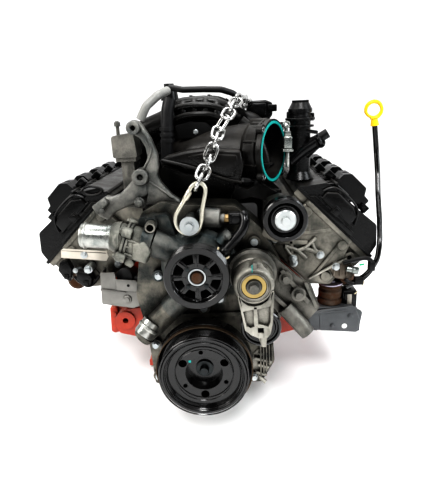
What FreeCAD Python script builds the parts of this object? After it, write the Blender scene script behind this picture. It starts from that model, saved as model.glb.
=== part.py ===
import FreeCAD, Part
import math
import os
from FreeCAD import Vector

# A 90 degree overhead-valve V8, millimetres. X to the driver side, front towards -Y, Z up.
# The origin is on the crankshaft axis, at the rear face of its flange.

# Crank train
stroke = 90.9
rod_length = 157.7
bore_r = 49.75
cylinder_pitch = 113.3
main_journal_r = 32.45
crankpin_r = 27.0
bearing_clearance = 0.05
cam_height = 165.0
cam_journal_r = 27.0

# Block, heads and covers
bank_angle = 45.0
bank_offset = 23.6
block_front = -530.0
block_rear = -14.0
pan_rail_z = -80.0
deck_height = 236.0
gasket = 1.5
head_top = 366.0
head_front = -527.0
head_length = 480.0
first_cylinder = -457.0
mains_first = -501.85
cover_front = -600.0
cover_wall = 6.0

# Front drive
damper_r = 94.5
pump_x, pump_z, pump_pulley_r = -2.0, 198.0, 58.0
idler_x, idler_z, idler_r = 154.0, 299.0, 38.0
tensioner_x, tensioner_z = 98.0, 185.0
tensioner_pulley_x, tensioner_pulley_z, tensioner_pulley_r = 110.0, 98.0, 37.0
pulley_front, pulley_rear = -692.0, -664.0
running_gap = 0.4

# Inlet side
throttle_centre = Vector(146, -500, 395)
throttle_angle = 61.0
throttle_bore_r = 53.0
throttle_bolt_r = 64.5
plenum_top = 510.0

# Lifting gear
lift_x, lift_z, lift_face = -13.0, 285.0, -644.0
link_wire_r, link_bend_r, link_straight = 3.6, 9.4, 7.5
link_play = 1.1
link_turn = 20.0
chain_line = [(9.7, -648, 361.4), (9.7, -648, 384), (19, -636, 404), (31, -618, 420), (43, -598, 434),
              (54, -572, 452), (66, -545, 468), (77, -500, 487), (86, -470, 501), (94, -440, 513),
              (100, -390, 524), (98, -300, 526), (92, -200, 524), (92, -130, 522), (93, -88, 510),
              (97, -60, 478), (106, -56, 430), (126, -46, 388), (150, -36, 350), (170, -29, 318),
              (188, -26, 296)]

pin_angles = [0, 90, 270, 180]
plug_places = [-380.0, -267.0, -154.0]
cylinders = [first_cylinder + cylinder_pitch * i for i in range(4)]
mains = [mains_first + cylinder_pitch * i for i in range(5)]
along_y = Vector(0, 1, 0)


def rounded(points):
    # Closed face in the XZ plane. A corner is (x, z) or (x, z, radius).
    corners, count = [], len(points)
    for i, corner in enumerate(points):
        here = Vector(corner[0], 0, corner[1])
        before = Vector(points[i - 1][0], 0, points[i - 1][1])
        after = Vector(points[(i + 1) % count][0], 0, points[(i + 1) % count][1])
        if len(corner) < 3:
            corners.append((here, here, here))
            continue
        u, v = (before - here).normalize(), (after - here).normalize()
        half = math.acos(max(-1.0, min(1.0, u.dot(v)))) / 2
        reach = corner[2] / math.tan(half)
        middle = (u + v).normalize()
        mid = here + middle * (corner[2] / math.sin(half) - corner[2])
        corners.append((here + u * reach, mid, here + v * reach))
    edges = []
    for i in range(count):
        start, mid, end = corners[i]
        if (start - end).Length > 1e-6:
            edges.append(Part.Arc(start, mid, end).toShape())
        next_start = corners[(i + 1) % count][0]
        if (next_start - end).Length > 1e-6:
            edges.append(Part.makeLine(end, next_start))
    return Part.Face(Part.Wire(edges))


def prism(points, y0, y1):
    face = rounded(points)
    face.translate(Vector(0, y0, 0))
    return face.extrude(Vector(0, y1 - y0, 0))


def box(x0, x1, y0, y1, z0, z1):
    return Part.makeBox(x1 - x0, y1 - y0, z1 - z0, Vector(x0, y0, z0))


def drum(x, z, r, y0, y1):
    return Part.makeCylinder(r, y1 - y0, Vector(x, y0, z), along_y)


def ring(x, z, outer, inner, y0, y1):
    return drum(x, z, outer, y0, y1).cut(drum(x, z, inner, y0 - 1, y1 + 1))


def rod(p, q, r, r_end=None):
    p, q = Vector(*p), Vector(*q)
    if r_end is None or r_end == r:
        return Part.makeCylinder(r, (q - p).Length, p, q - p)
    return Part.makeCone(r, r_end, (q - p).Length, p, q - p)


def turned(profile, x=0.0, z=0.0):
    # Solid of revolution about a line along Y through (x, z). The profile is (radius, y) points.
    points = [Vector(r, y, 0) for r, y in profile]
    face = Part.Face(Part.makePolygon(points + points[:1]))
    solid = face.revolve(Vector(0, 0, 0), along_y, 360)
    solid.translate(Vector(x, 0, z))
    return solid


def pipe(points, r, bend):
    # Straight runs joined by tangent arcs, each as large as bend or its two runs allow.
    points = [Vector(*p) for p in points]
    pieces, last = [], points[0]
    for before, here, after in zip(points, points[1:], points[2:]):
        u, v = (before - here).normalize(), (after - here).normalize()
        half = math.acos(max(-1.0, min(1.0, u.dot(v)))) / 2
        reach = min(bend / math.tan(half), 0.46 * min((before - here).Length, (after - here).Length))
        radius = reach * math.tan(half)
        start = here + u * reach
        centre = here + (u + v).normalize() * (radius / math.sin(half))
        disc = Part.Face(Part.Wire(Part.makeCircle(r, start, u)))
        pieces.append(Part.makeCylinder(r, (start - last).Length, last, start - last))
        pieces.append(disc.revolve(centre, u.cross(v) * -1, 180 - math.degrees(2 * half)))
        last = here + v * reach
    pieces.append(Part.makeCylinder(r, (points[-1] - last).Length, last, points[-1] - last))
    return fused(pieces)


def horn(points, radii):
    # Tapered runs that meet on balls.
    runs = [rod(p, q, r, s) for p, q, r, s in zip(points, points[1:], radii, radii[1:])]
    balls = [Part.makeSphere(r, Vector(*p)) for p, r in zip(points[1:], radii[1:])]
    return fused(runs + balls)


def fused(shapes):
    shapes = list(shapes)
    return shapes[0].multiFuse(shapes[1:]).removeSplitter() if len(shapes) > 1 else shapes[0]


def hex_bolt(x, z, y, across, height=8.0, flange=1.35, side=-1):
    # Flanged hex head standing off a face at y, towards side.
    washer_r = across / 2 * flange
    washer = drum(x, z, washer_r, min(y, y + side * 2), max(y, y + side * 2))
    corners = [(x + across / math.sqrt(3) * math.cos(math.radians(60 * i + 15)),
                z + across / math.sqrt(3) * math.sin(math.radians(60 * i + 15))) for i in range(6)]
    head = prism(corners, min(y, y + side * height), max(y, y + side * height))
    return washer.fuse(head)


def on_bank(shape, side):
    # From the bank's own frame (Z up the cylinders, X outwards) to its place on the engine.
    shape = shape.copy()
    shape.rotate(Vector(0, 0, 0), along_y, bank_angle)
    if side < 0:
        shape = shape.mirror(Vector(0, 0, 0), Vector(1, 0, 0))
        shape.translate(Vector(0, bank_offset, 0))
    return shape


def mirrored(shape):
    return shape.mirror(Vector(0, 0, 0), Vector(1, 0, 0))


def seated(shape, *neighbours):
    # The piece with its neighbours' room taken out of it, so that it meets them face to face.
    for other in neighbours:
        shape = shape.cut(other)
    solids = sorted(shape.Solids, key=lambda s: s.Volume)
    return solids[-1]


def together(shapes):
    solids = [solid for shape in shapes for solid in shape.Solids]
    return Part.makeCompound(solids)


# ---------------------------------------------------------------- block and bottom end

def cylinder_block():
    skirt = prism([(-140, pan_rail_z), (140, pan_rail_z), (140, -66, 4), (128, -56, 8), (128, 20, 15),
                   (150, 60, 20), (112, 204, 20), (-112, 204, 20), (-150, 60, 20), (-128, 20, 15),
                   (-128, -56, 8), (-140, -66, 4)], block_front, block_rear)
    bank = prism([(-66, 110), (70, 110), (70, deck_height - 24, 8), (76, deck_height - 16, 4),
                  (76, deck_height), (-66, deck_height)], head_front, head_front + head_length)
    ribs = fused(box(68, 84, y - 4, y + 4, 120, 200) for y in cylinders)
    bank = bank.fuse(ribs)
    ears = []
    for side in (-1, 1):
        ear = prism([(120, 66), (185, 60, 14), (216, 34, 16), (204, 2, 14), (120, -20)], -522, -498)
        boss = drum(186, 34, 22, -526, -494)
        ear = ear.fuse(boss).cut(drum(186, 34, 6.5, -540, -480))
        ears.append(ear if side > 0 else mirrored(ear))
    flange = prism([(-176, pan_rail_z, 10), (176, pan_rail_z, 10), (196, 0, 40), (188, 90, 40), (150, 168, 30),
                    (112, 204, 20), (-112, 204, 20), (-150, 168, 30), (-188, 90, 40), (-196, 0, 40)],
                   block_rear - 12, block_rear)
    bosses = [drum(side * x, z, 13, block_rear - 30, block_rear) for side in (-1, 1)
              for x, z in ((176, -40), (184, 50), (150, 150))]
    plugs = [rod((side * 124, y, -24), (side * 131, y, -24), 19) for side in (-1, 1) for y in plug_places]
    block = fused([skirt, on_bank(bank, 1), on_bank(bank, -1), flange] + plugs + ears + bosses)
    rooms = []
    for front, rear in zip(mains, mains[1:]):
        rooms.append(drum(0, 0, 96, front + 12, rear - 12))
    rooms.append(box(-98, 98, mains[0] - 12, mains[-1] + 12, pan_rail_z - 5, 0))
    for y in mains:
        rooms.append(drum(0, 0, main_journal_r + bearing_clearance, y - 15, y + 15))
    rooms.append(drum(0, 0, 46, block_front - 1, mains[0] - 12))
    rooms.append(drum(0, 0, 56, mains[-1] + 12, block_rear + 1))
    rooms.append(drum(0, cam_height, cam_journal_r + bearing_clearance, block_front - 1, block_rear - 8))
    barrels = fused(rod((0, y, 84), (0, y, deck_height + 1), bore_r) for y in cylinders)
    rooms += [on_bank(barrels, 1), on_bank(barrels, -1)]
    for room in rooms:
        block = block.cut(room)
    return block


def main_bearing_caps():
    caps = []
    for y in mains:
        cap = prism([(-97.6, 0), (-97.6, -40, 6), (-60, -62, 14), (60, -62, 14), (97.6, -40, 6), (97.6, 0)],
                    y - 11.5, y + 11.5)
        caps.append(cap.cut(drum(0, 0, main_journal_r + bearing_clearance, y - 20, y + 20)))
    return together(caps)


def oil_pan():
    wall = 3.0
    front, rear = block_front + 10, block_rear - 10
    side = [(front, pan_rail_z), (front, -122, 18), (-345, -134, 30), (-300, -222, 24), (-62, -222, 24),
            (rear, pan_rail_z)]
    inside = [(front + wall, pan_rail_z + 1), (front + wall, -122 + wall, 15),
              (-345 + wall, -134 + wall, 27),
              (-300 + wall, -222 + wall, 21), (-62 - wall, -222 + wall, 21), (rear - wall, pan_rail_z + 1)]

    def across(points, half):
        # The profile runs along Y, so it is drawn in XZ and turned a quarter about Z.
        solid = prism(points, -half, half)
        solid.rotate(Vector(0, 0, 0), Vector(0, 0, 1), 90)
        return solid

    shell = across(side, 112)
    shell = shell.makeFillet(14, [e for e in shell.Edges if abs(e.BoundBox.XMax - e.BoundBox.XMin) < 1e-6
                                  and e.CenterOfMass.z < -100 and e.Length > 60])
    flange = box(-138, 138, block_front + 2, block_rear - 2, pan_rail_z - 5, pan_rail_z)
    pan = shell.fuse(flange).cut(across(inside, 112 - wall))
    plug = rod((0, -60, -200), (0, -46, -200), 11)
    plug = seated(plug, shell)
    return seated(pan.fuse(plug).removeSplitter())


def crankshaft():
    middles = [first_cylinder + bank_offset / 2 + cylinder_pitch * i for i in range(4)]
    pieces = [drum(0, 0, main_journal_r, -545, -25)]
    for y, angle in zip(middles, pin_angles):
        a = math.radians(angle - 45)
        px, pz = stroke / 2 * math.sin(a), stroke / 2 * math.cos(a)
        pieces.append(drum(px, pz, crankpin_r, y - 27, y + 27))
        for y0, y1 in ((y - 43, y - 25), (y + 25, y + 43)):
            web = prism([(-38, -20, 12), (-80, -22, 8), (-62, -58, 30), (0, -86, 60), (62, -58, 30),
                         (80, -22, 8), (38, -20, 12), (31, 60, 20), (0, 82, 26), (-31, 60, 20)], y0, y1)
            web = web.common(drum(0, 0, 84, y0, y1))
            web.rotate(Vector(0, 0, 0), along_y, angle - 45)
            pieces.append(web)
    nose = drum(0, 0, 22, -640, -544)
    flange = drum(0, 0, 45, -26, 0)
    shaft = fused(pieces + [nose, flange]).cut(ring(0, 0, 60, 29, -545, -537))
    shaft = shaft.cut(drum(0, 0, 18, -24, 1))
    shaft = shaft.cut(drum(0, 0, 7.2, -641, -590))
    for i in range(8):
        a = math.radians(45 * i + 10)
        shaft = shaft.cut(drum(35 * math.cos(a), 35 * math.sin(a), 5.0, -22, 1))
    return shaft


def sprocket(teeth, root_r, tip_r, bore, y0, y1, x, z):
    pitch = 2 * math.pi / teeth
    points = []
    for i in range(teeth):
        for share, r in ((-0.36, root_r), (-0.14, tip_r), (0.14, tip_r), (0.36, root_r)):
            a = (i + share) * pitch
            points.append((x + r * math.sin(a), z + r * math.cos(a)))
    return prism(points, y0, y1).cut(drum(x, z, bore, y0 - 1, y1 + 1))


def crank_sprocket():
    return fused([sprocket(20, 27, 31, 22, -566, -556, 0, 0), ring(0, 0, 27, 22, -578, -546)])


def cam_sprocket():
    body = sprocket(40, 55, 59, 12, -566, -556, 0, cam_height)
    for i in range(5):
        a = math.radians(72 * i)
        body = body.cut(drum(35 * math.sin(a), cam_height + 35 * math.cos(a), 10, -570, -550))
    return body


def pistons():
    # At the heights that the crankshaft's rest position gives them.
    crank_r = stroke / 2
    banks = []
    for side, shift in ((1, 0), (-1, bank_offset)):
        bank = []
        for y, angle in zip(cylinders, pin_angles):
            swing = math.radians(angle - 45 - side * bank_angle)
            across = crank_r * math.sin(swing)
            height = crank_r * math.cos(swing) + math.sqrt(rod_length ** 2 - across ** 2)
            crown = rod((0, y, height - 20), (0, y, height + 32), bore_r - bearing_clearance)
            crown = crown.cut(rod((0, y, height - 21), (0, y, height + 22), bore_r - 7))
            for groove in (25, 19, 13):
                band = rod((0, y, height + groove - 1), (0, y, height + groove + 1), bore_r + 1)
                crown = crown.cut(band.cut(rod((0, y, 0), (0, y, 300), bore_r - 3)))
            pin = rod((0, y - 43, height), (0, y + 43, height), 12)
            bank.append(fused([crown, pin]))
        banks.append(on_bank(together(bank), side))
    return together(banks)


def camshaft():
    pieces = [drum(0, cam_height, 15, -556, -30)]
    pieces += [drum(0, cam_height, cam_journal_r, y - 10, y + 10) for y in mains]
    pieces.append(drum(0, cam_height, 12, -572, -540))
    firing = [0, 90, 270, 180]
    for i, y in enumerate(cylinders):
        for j, (shift, lift) in enumerate(((-32, 20), (-8, -35), (18, 150), (34, 205))):
            a = math.radians(firing[i] / 2 + lift)
            base = drum(0, cam_height, 17, y + shift, y + shift + 10)
            tip = drum(9.5 * math.sin(a), cam_height + 9.5 * math.cos(a), 14, y + shift, y + shift + 10)
            pieces.append(base.fuse(tip))
    bolt = hex_bolt(0, cam_height, -566, 18, 8)
    return fused(pieces + [bolt])


def timing_chain():
    # One closed run round both sprockets, outside their teeth.
    def around(extra):
        lower = drum(0, 0, 31 + extra, -564, -558)
        upper = drum(0, cam_height, 59 + extra, -564, -558)
        lean = math.asin((59.0 - 31.0) / cam_height)
        edge = []
        for sign in (1, -1):
            nx, nz = sign * math.cos(lean), -math.sin(lean)
            edge.append(((31 + extra) * nx, (31 + extra) * nz))
            edge.append(((59 + extra) * nx, cam_height + (59 + extra) * nz))
        hull = prism([edge[0], edge[1], edge[3], edge[2]], -564, -558)
        return fused([lower, upper, hull])
    return around(6.5).cut(around(running_gap))


def rear_seal_cover():
    plate = prism([(-96, -79, 6), (96, -79, 6), (96, 30, 18), (60, 78, 24), (-60, 78, 24), (-96, 30, 18)],
                  block_rear, block_rear + 7)
    plate = plate.cut(drum(0, 0, 45 + running_gap, -30, 0))
    bolts = [hex_bolt(x, z, block_rear + 7, 8, 5, 1.3, 1) for x, z in
             ((-84, -50), (84, -50), (-84, 20), (84, 20), (-45, 66), (45, 66))]
    return seated(fused([plate] + bolts))


def flexplate():
    plate = ring(0, 0, 172, 22, 0, 3.2)
    gear = ring(0, 0, 180, 168, -4.5, 4.5)
    body = plate.fuse(gear)
    bolts = []
    for i in range(8):
        a = math.radians(45 * i + 10)
        bolts.append(hex_bolt(35 * math.cos(a), 35 * math.sin(a), 3.2, 14, 7, 1.2, 1))
    for i in range(6):
        a = math.radians(60 * i)
        body = body.cut(drum(96 * math.cos(a), 96 * math.sin(a), 22, -1, 5))
    for i in range(4):
        a = math.radians(90 * i + 30)
        body = body.cut(drum(142 * math.cos(a), 142 * math.sin(a), 5.5, -1, 5))
    return fused([body] + bolts)


def oil_pickup():
    tube = pipe([(40, -501, -63), (40, -501, -106), (32, -430, -108), (20, -330, -112), (10, -250, -140),
                 (0, -200, -196)], 9, 30)
    bell = rod((0, -200, -212), (0, -200, -190), 34, 12)
    return fused([tube, bell])


# ---------------------------------------------------------------- heads, covers and coils

def cylinder_head(side):
    outline = [(-68, deck_height + gasket), (-119, 301, 3), (-96, 328, 3), (-84, 345, 4), (-84, head_top),
               (120, head_top), (120, 332, 10), (106, 316), (112, 268, 6), (78, deck_height + gasket)]
    head = prism(outline, head_front, head_front + head_length)
    for y in cylinders:
        for offset in (-17, 17):
            head = head.cut(rod((5, y + offset, 300), (5, y + offset, head_top + 1), 12))
    face = head_front - 9
    front = [prism([(-52, 352), (-44, 352), (62, 262, 3), (56, 256, 3)], face, head_front),
             prism([(96, 350), (104, 344), (10, 258, 3), (4, 264, 3)], face, head_front)]
    for t, s in ((11, 252), (55, 301), (-30, 340), (92, 338), (88, 270)):
        front.append(drum(t, s, 11, face - 3, head_front))
    rail = prism([(-88, head_top - 12, 3), (124, head_top - 12, 3), (124, head_top), (-88, head_top)],
                 head_front - 4, head_front + head_length + 4)
    for y in cylinders:
        for offset in (-17, 17):
            rail = rail.cut(rod((5, y + offset, 300), (5, y + offset, head_top + 1), 12))
    ports = [rod((110, y, 296), (118, y, 296), 24) for y in cylinders]
    head = fused([head, rail] + front + ports)
    for t, s in ((11, 252), (55, 301), (-30, 340), (92, 338), (88, 270)):
        head = head.cut(drum(t, s, 4.5, face - 5, head_front + 12))
    head = seated(head)
    return on_bank(head, side)


def head_gaskets():
    sheet = prism([(-64, deck_height), (74, deck_height), (74, deck_height + gasket),
                   (-64, deck_height + gasket)], head_front + 1, head_front + head_length - 1)
    return together([on_bank(sheet, 1), on_bank(sheet, -1)])


def valve_cover(side):
    y0, y1 = head_front - 2, head_front + head_length + 2
    shape = [(-86, head_top), (-86, 374, 4), (-52, 416, 14), (50, 421, 20), (84, 424, 12), (117, 394, 14),
             (122, 374, 4), (122, head_top)]
    inner = [(-82, head_top - 1), (-82, 373, 4), (-50, 411, 12), (50, 416, 18), (82, 419, 10),
             (113, 392, 12),
             (118, 373, 4), (118, head_top - 1)]
    cover = prism(shape, y0, y1).cut(prism(inner, y0 + 4, y1 - 4))
    rim = prism([(-91, head_top), (127, head_top), (127, head_top + 7, 2), (-91, head_top + 7, 2)],
                y0 - 4, y1 + 4)
    rim = rim.cut(prism([(-82, head_top - 1), (118, head_top - 1), (118, head_top + 8),
                         (-82, head_top + 8)],
                        y0 + 4, y1 - 4))
    pieces = [cover, rim]
    for y in cylinders:
        pieces.append(prism([(-80, 378), (-58, 404, 6), (-52, 418, 6), (-20, 424, 6), (-20, 418),
                             (-50, 414)],
                            y - 30, y - 22))
        for offset in (-17, 17):
            tube = rod((5, y + offset, head_top), (5, y + offset, 425), 17.6)
            pieces.append(tube)
    pieces.append(prism([(-20, 372), (30, 372), (30, 392, 3), (-20, 392, 3)], y0 - 6, y0))
    cover = fused(pieces)
    for y in cylinders:
        for offset in (-17, 17):
            cover = cover.cut(rod((5, y + offset, 360), (5, y + offset, 430), 14))
    return on_bank(seated(cover), side)


def ignition_coils(side):
    coils = []
    for y in cylinders:
        body = prism([(-28, 425), (38, 425), (40, 446, 5), (28, 464, 5), (-16, 464, 5), (-28, 452, 4)],
                     y - 28, y + 28)
        body = body.cut(box(-40, 60, y - 5, y + 5, 454, 470))
        socket = prism([(36, 430), (58, 430, 3), (58, 450, 3), (38, 452)], y - 13, y + 13)
        boots = [rod((5, y + o, 352), (5, y + o, 425), 9.5) for o in (-17, 17)]
        tab = fused([box(-42, -27, y - 8, y + 8, 425, 431), rod((-35, y, 430), (-35, y, 437), 5.5)])
        coils.append(seated(fused([body, socket, tab] + boots)))
    return on_bank(together(coils), side)


def spark_plugs():
    plugs = []
    for y in cylinders:
        for offset in (-17, 17):
            shell = fused([rod((5, y + offset, 300), (5, y + offset, 318), 10.5),
                           rod((5, y + offset, 318), (5, y + offset, 346), 6),
                           rod((5, y + offset, 346), (5, y + offset, 351.5), 3)])
            plugs.append(shell)
    bank = together(plugs)
    return together([on_bank(bank, 1), on_bank(bank, -1)])


def exhaust_manifold(side):
    # Log with four branches, closed at the front, its outlet turned down at the rear.
    s, t, r = 296, 148, 22
    y0, y1 = cylinders[0] - 16, cylinders[-1] + 34
    nose = rod((t, y0 - 10, s), (t, y0, s), 13, r)
    log = pipe([(t, y0, s), (t, y1 + 56, s), (t + 60, y1 + 56, s - 60)], r, 26)
    outlet = rod((t + 54, y1 + 56, s - 54), (t + 61, y1 + 56, s - 61), 38)
    branches = []
    for y in cylinders:
        branches += [rod((118, y, s), (123, y, s), 31), rod((122, y, s), (t, y, s), 19)]
        branches += [rod((118, y + dy, s + 6), (130, y + dy, s + 6), 8) for dy in (-27, 27)]
    body = fused([log, nose, outlet] + branches)
    body = body.cut(rod((t + 21, y1 + 56, s - 21), (t + 63, y1 + 56, s - 63), 18))
    return on_bank(seated(body), side)


# ---------------------------------------------------------------- front covers and coolant

def timing_cover():
    front, wall = cover_front, cover_wall
    outline = [(-114, pan_rail_z + 1, 6), (114, pan_rail_z + 1, 6), (142, -30, 20), (138, 40, 20),
               (168, 96, 30),
               (160, 178, 30), (118, 262, 30), (70, 306, 20), (-40, 312, 30), (-70, 320, 20),
               (-112, 300, 24),
               (-122, 214, 30), (-136, 130, 30), (-120, 40, 20)]
    cover = prism(outline, front, block_front)
    chamber = [(-76, -60, 30), (76, -60, 30), (84, 60, 30), (84, 236, 44), (-84, 236, 44), (-84, 60, 30)]
    cover = cover.cut(prism(chamber, front + wall, block_front + 1))
    cover = cover.cut(drum(0, 0, 30 + running_gap, front - 1, front + wall + 1))
    # Upper ends hollowed from behind, where the coolant crossover passes to the heads.
    cover = cover.cut(prism([(-96, 246, 12), (96, 246, 12), (60, 296, 12), (-60, 304, 12), (-98, 290, 12)],
                            front + wall, block_front + 1))
    bosses = [(0, 100, 13), (-113, 318, 14), (98, -62, 11),
              (-104, -56, 12), (-104, 20, 12), (122, 30, 12), (104, 236, 12)]
    pieces = [cover]
    pieces += [drum(x, z, r, front - 8, front) for x, z, r in bosses]
    ledge = prism([(-60, 88, 4), (84, 88, 4), (84, 80, 3), (-60, 80, 3)], front - 6, front)
    arch = prism([(-116, 300, 8), (-68, 326, 20), (-30, 314, 8), (-32, 304, 8), (-68, 314, 16),
                  (-108, 292, 8)],
                 front - 12, front)
    pieces += [ledge, arch]
    for i in range(5):
        x0 = 111 + 6 * i
        pieces.append(prism([(x0, -66 + 11 * i), (x0 + 3, -66 + 11 * i), (x0 + 3, 14), (x0, 14)],
                            front - 10, front))
    for a in range(0, 180, 30):
        angle = math.radians(a)
        rib = box(-2, 2, front - 5, front, 38, 78)
        rib.rotate(Vector(0, 0, 0), along_y, a - 75)
        pieces.append(rib)
    pieces.append(ring(0, 0, 42, 32, front - 6, front))
    idler_post = fused([drum(idler_x, idler_z, 15, -660, -600),
                        prism([(118, 250, 8), (150, 232, 10), (174, 292, 8), (166, 318, 10),
                               (134, 308, 10)],
                              -612, block_front - 4)])
    pieces.append(idler_post)
    body = fused(pieces)
    holes = [(x, z) for x, z, r in bosses]
    for x, z in holes:
        body = body.cut(drum(x, z, 4.2, front - 9, front + 14))
    body = body.cut(drum(idler_x, idler_z, 5.05, -661, -625))
    return seated(body)


def water_pump_housing(cover):
    back, front = cover_front, -640.0
    volute = turned([(0, back), (74, back), (74, -622), (66, -632), (40, front), (34, -652), (0, -652)],
                    pump_x, pump_z)
    pieces = [volute]
    outlet = rod((-30, -622, 222), (-88, -628, 249), 24, 27)
    pieces += [outlet, rod((-86, -628, 250), (-105, -628, 256), 30, 36)]
    inlet = rod((-18, -622, 150), (-66, -616, 106), 24)
    pieces += [inlet]
    pieces.append(rod((40, -620, 240), (60, -616, 262), 20, 14))
    nipple_boss = rod((-86, -598, 285), (-86, -634, 285), 15, 12)
    pieces.append(nipple_boss)
    pieces.append(prism([(-112, 296, 10), (-56, 300, 10), (-40, 250, 10), (-80, 240, 10), (-112, 262, 10)],
                        -622, back))
    sensor_boss = rod((4, -618, 292), (36, -618, 293), 17, 15)
    pieces += [sensor_boss, prism([(-3, 270, 6), (44, 270, 6), (44, 304, 6), (-3, 304, 6)], -620, back)]
    lugs = [(34, 124), (-84, 176), (4, 284)]
    pieces += [drum(x, z, 12, -616, back) for x, z in lugs]
    pieces.append(drum(lift_x, lift_z, 13, lift_face, back))
    body = fused(pieces)
    body = body.cut(drum(pump_x, pump_z, 12.05, -660, -618))
    body = body.cut(drum(pump_x, pump_z, 52, -626, back + 1))
    body = body.cut(drum(lift_x, lift_z, 5.0, lift_face - 1, lift_face + 18))
    return seated(body, cover)


def thermostat_housing(pump, cover):
    body = rod((-160, -628, 262), (-106, -628, 257), 27, 33)
    flange = rod((-118, -628, 257), (-106, -628, 256), 40)
    joint = rod((-146, -628, 261), (-139, -628, 260), 34)
    tube = rod((-219, -628, 267.46), (-158, -628, 261.81), 22.5)
    rib = box(-156, -112, -664, -656, 232, 262)
    lugs = [rod((-146, -628 + dy, 261 + dz), (-132, -628 + dy, 260 + dz), 9) for dy,
            dz in ((-24, -26), (-22, 28))]
    shape = fused([body, flange, joint, tube, rib] + lugs)
    shape = shape.cut(rod((-221, -628, 267.65), (-158, -628, 261.81), 19))
    return seated(shape, pump, cover)


def lower_inlet_pipe(pump, cover):
    casting = rod((-50, -616, 120), (-104, -620, 68), 22)
    end = rod((-104, -620, 68), (-127, -622, 46), 20)
    bead = rod((-119, -621.3, 53.6), (-124, -621.8, 48.9), 22)
    shape = fused([casting, end, bead])
    shape = shape.cut(rod((-104, -620, 68), (-130, -622.3, 43.1), 17.5))
    return seated(shape, pump, cover)


def heater_pipe(pump):
    nipple = fused([rod((-86, -634, 285), (-84, -656, 284), 9),
                    rod((-84.6, -650, 284.3), (-84.2, -653, 284.1), 10)])
    nipple = nipple.cut(rod((-86, -630, 285), (-83.8, -657, 284), 6.4))
    return seated(nipple, pump)


def coolant_sensor(pump):
    brass = rod((36, -618, 293), (60, -618, 295), 7.5)
    connector = box(60, 84, -630, -606, 284, 306)
    lead = pipe([(78, -618, 284), (74, -624, 262), (60, -634, 240), (44, -638, 224)], 6.5, 16)
    clip = box(34, 50, -644, -628, 214, 224)
    return seated(fused([brass, connector, lead, clip]), pump)


# ---------------------------------------------------------------- front drive

def harmonic_damper():
    hub = turned([(22, -640), (30, -640), (30, -596), (28, -594), (22, -594)])
    body = turned([(14, -640), (78, -640), (78, -636), (92, -636), (94.5, -640), (94.5, -664), (84, -668),
                   (84, -694), (81, -697), (77, -697), (75, -690), (71, -690), (69, -686), (36, -684),
                   (33, -664), (14, -664)])
    body = body.cut(drum(0, 0, 8, -700, -630))
    for i in range(3):
        a = math.radians(120 * i + 60)
        body = body.cut(drum(46 * math.sin(a), 46 * math.cos(a), 8, -700, -600))
        a += math.radians(55)
        body = body.cut(drum(46 * math.sin(a), 46 * math.cos(a), 4.2, -700, -600))
    for i in range(6):
        y = -690 + 3.6 * i
        body = body.cut(turned([(85, y), (81.5, y + 1.4), (85, y + 2.8)]))
    return seated(hub.fuse(body))


def damper_bolt():
    head = turned([(0, -680), (8, -680), (9, -678), (9, -669), (17, -668), (17, -664), (0, -664)])
    return head.fuse(drum(0, 0, 7.15, -665, -600))


def water_pump_pulley():
    r = pump_pulley_r
    body = turned([(10, -686), (20, -686), (24, -680), (40, -680), (42, -690), (44, -692), (r - 3, -692),
                   (r - 1, -690), (r - 1, -670), (r + 1, -668), (r + 1, -664), (r - 4, -664), (r - 5, -688),
                   (46, -688), (44, -676), (22, -674), (10, -674)], pump_x, pump_z)
    for i in range(6):
        window = prism([(-5, 26, 3), (5, 26, 3), (12, 37, 5), (-12, 37, 5)], -700, -660)
        window.rotate(Vector(0, 0, 0), Vector(0, 1, 0), 60 * i + 30)
        window.translate(Vector(pump_x, 0, pump_z))
        body = body.cut(window)
    return seated(body)


def water_pump_shaft():
    shaft = turned([(0, -692), (8.5, -692), (9.9, -690), (9.9, -674), (20, -673.9), (20, -660), (12, -656),
                    (12, -612), (0, -612)], pump_x, pump_z)
    disc = turned([(0, -617), (46, -616), (46, -613), (0, -612)], pump_x, pump_z)
    blades = []
    for i in range(6):
        blade = box(14, 46, -613, -604, -1.5, 1.5)
        blade.rotate(Vector(14, 0, 0), along_y, 35)
        blade.rotate(Vector(0, 0, 0), along_y, 60 * i)
        blade.translate(Vector(pump_x, 0, pump_z))
        blades.append(blade.common(drum(pump_x, pump_z, 46, -620, -600)))
    return fused([shaft, disc] + blades)


def idler_pulley():
    return turned([(15, -690), (15, -668), (17, -664), (26, -664), (26, -668), (36, -668), (38, -666),
                   (38, -690), (36, -692), (30, -692), (28, -688), (24, -684), (20.5, -684), (20.5, -690)],
                  idler_x, idler_z)


def idler_bolt():
    cap = turned([(0, -694), (16, -694), (18, -692), (18, -690.6), (14.6, -690.4), (14.6, -660), (0, -660)],
                 idler_x, idler_z)
    head = hex_bolt(idler_x, idler_z, -694, 13, 7, 1.2)
    return fused([cap, head, drum(idler_x, idler_z, 5.0, -661, -630)])


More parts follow.
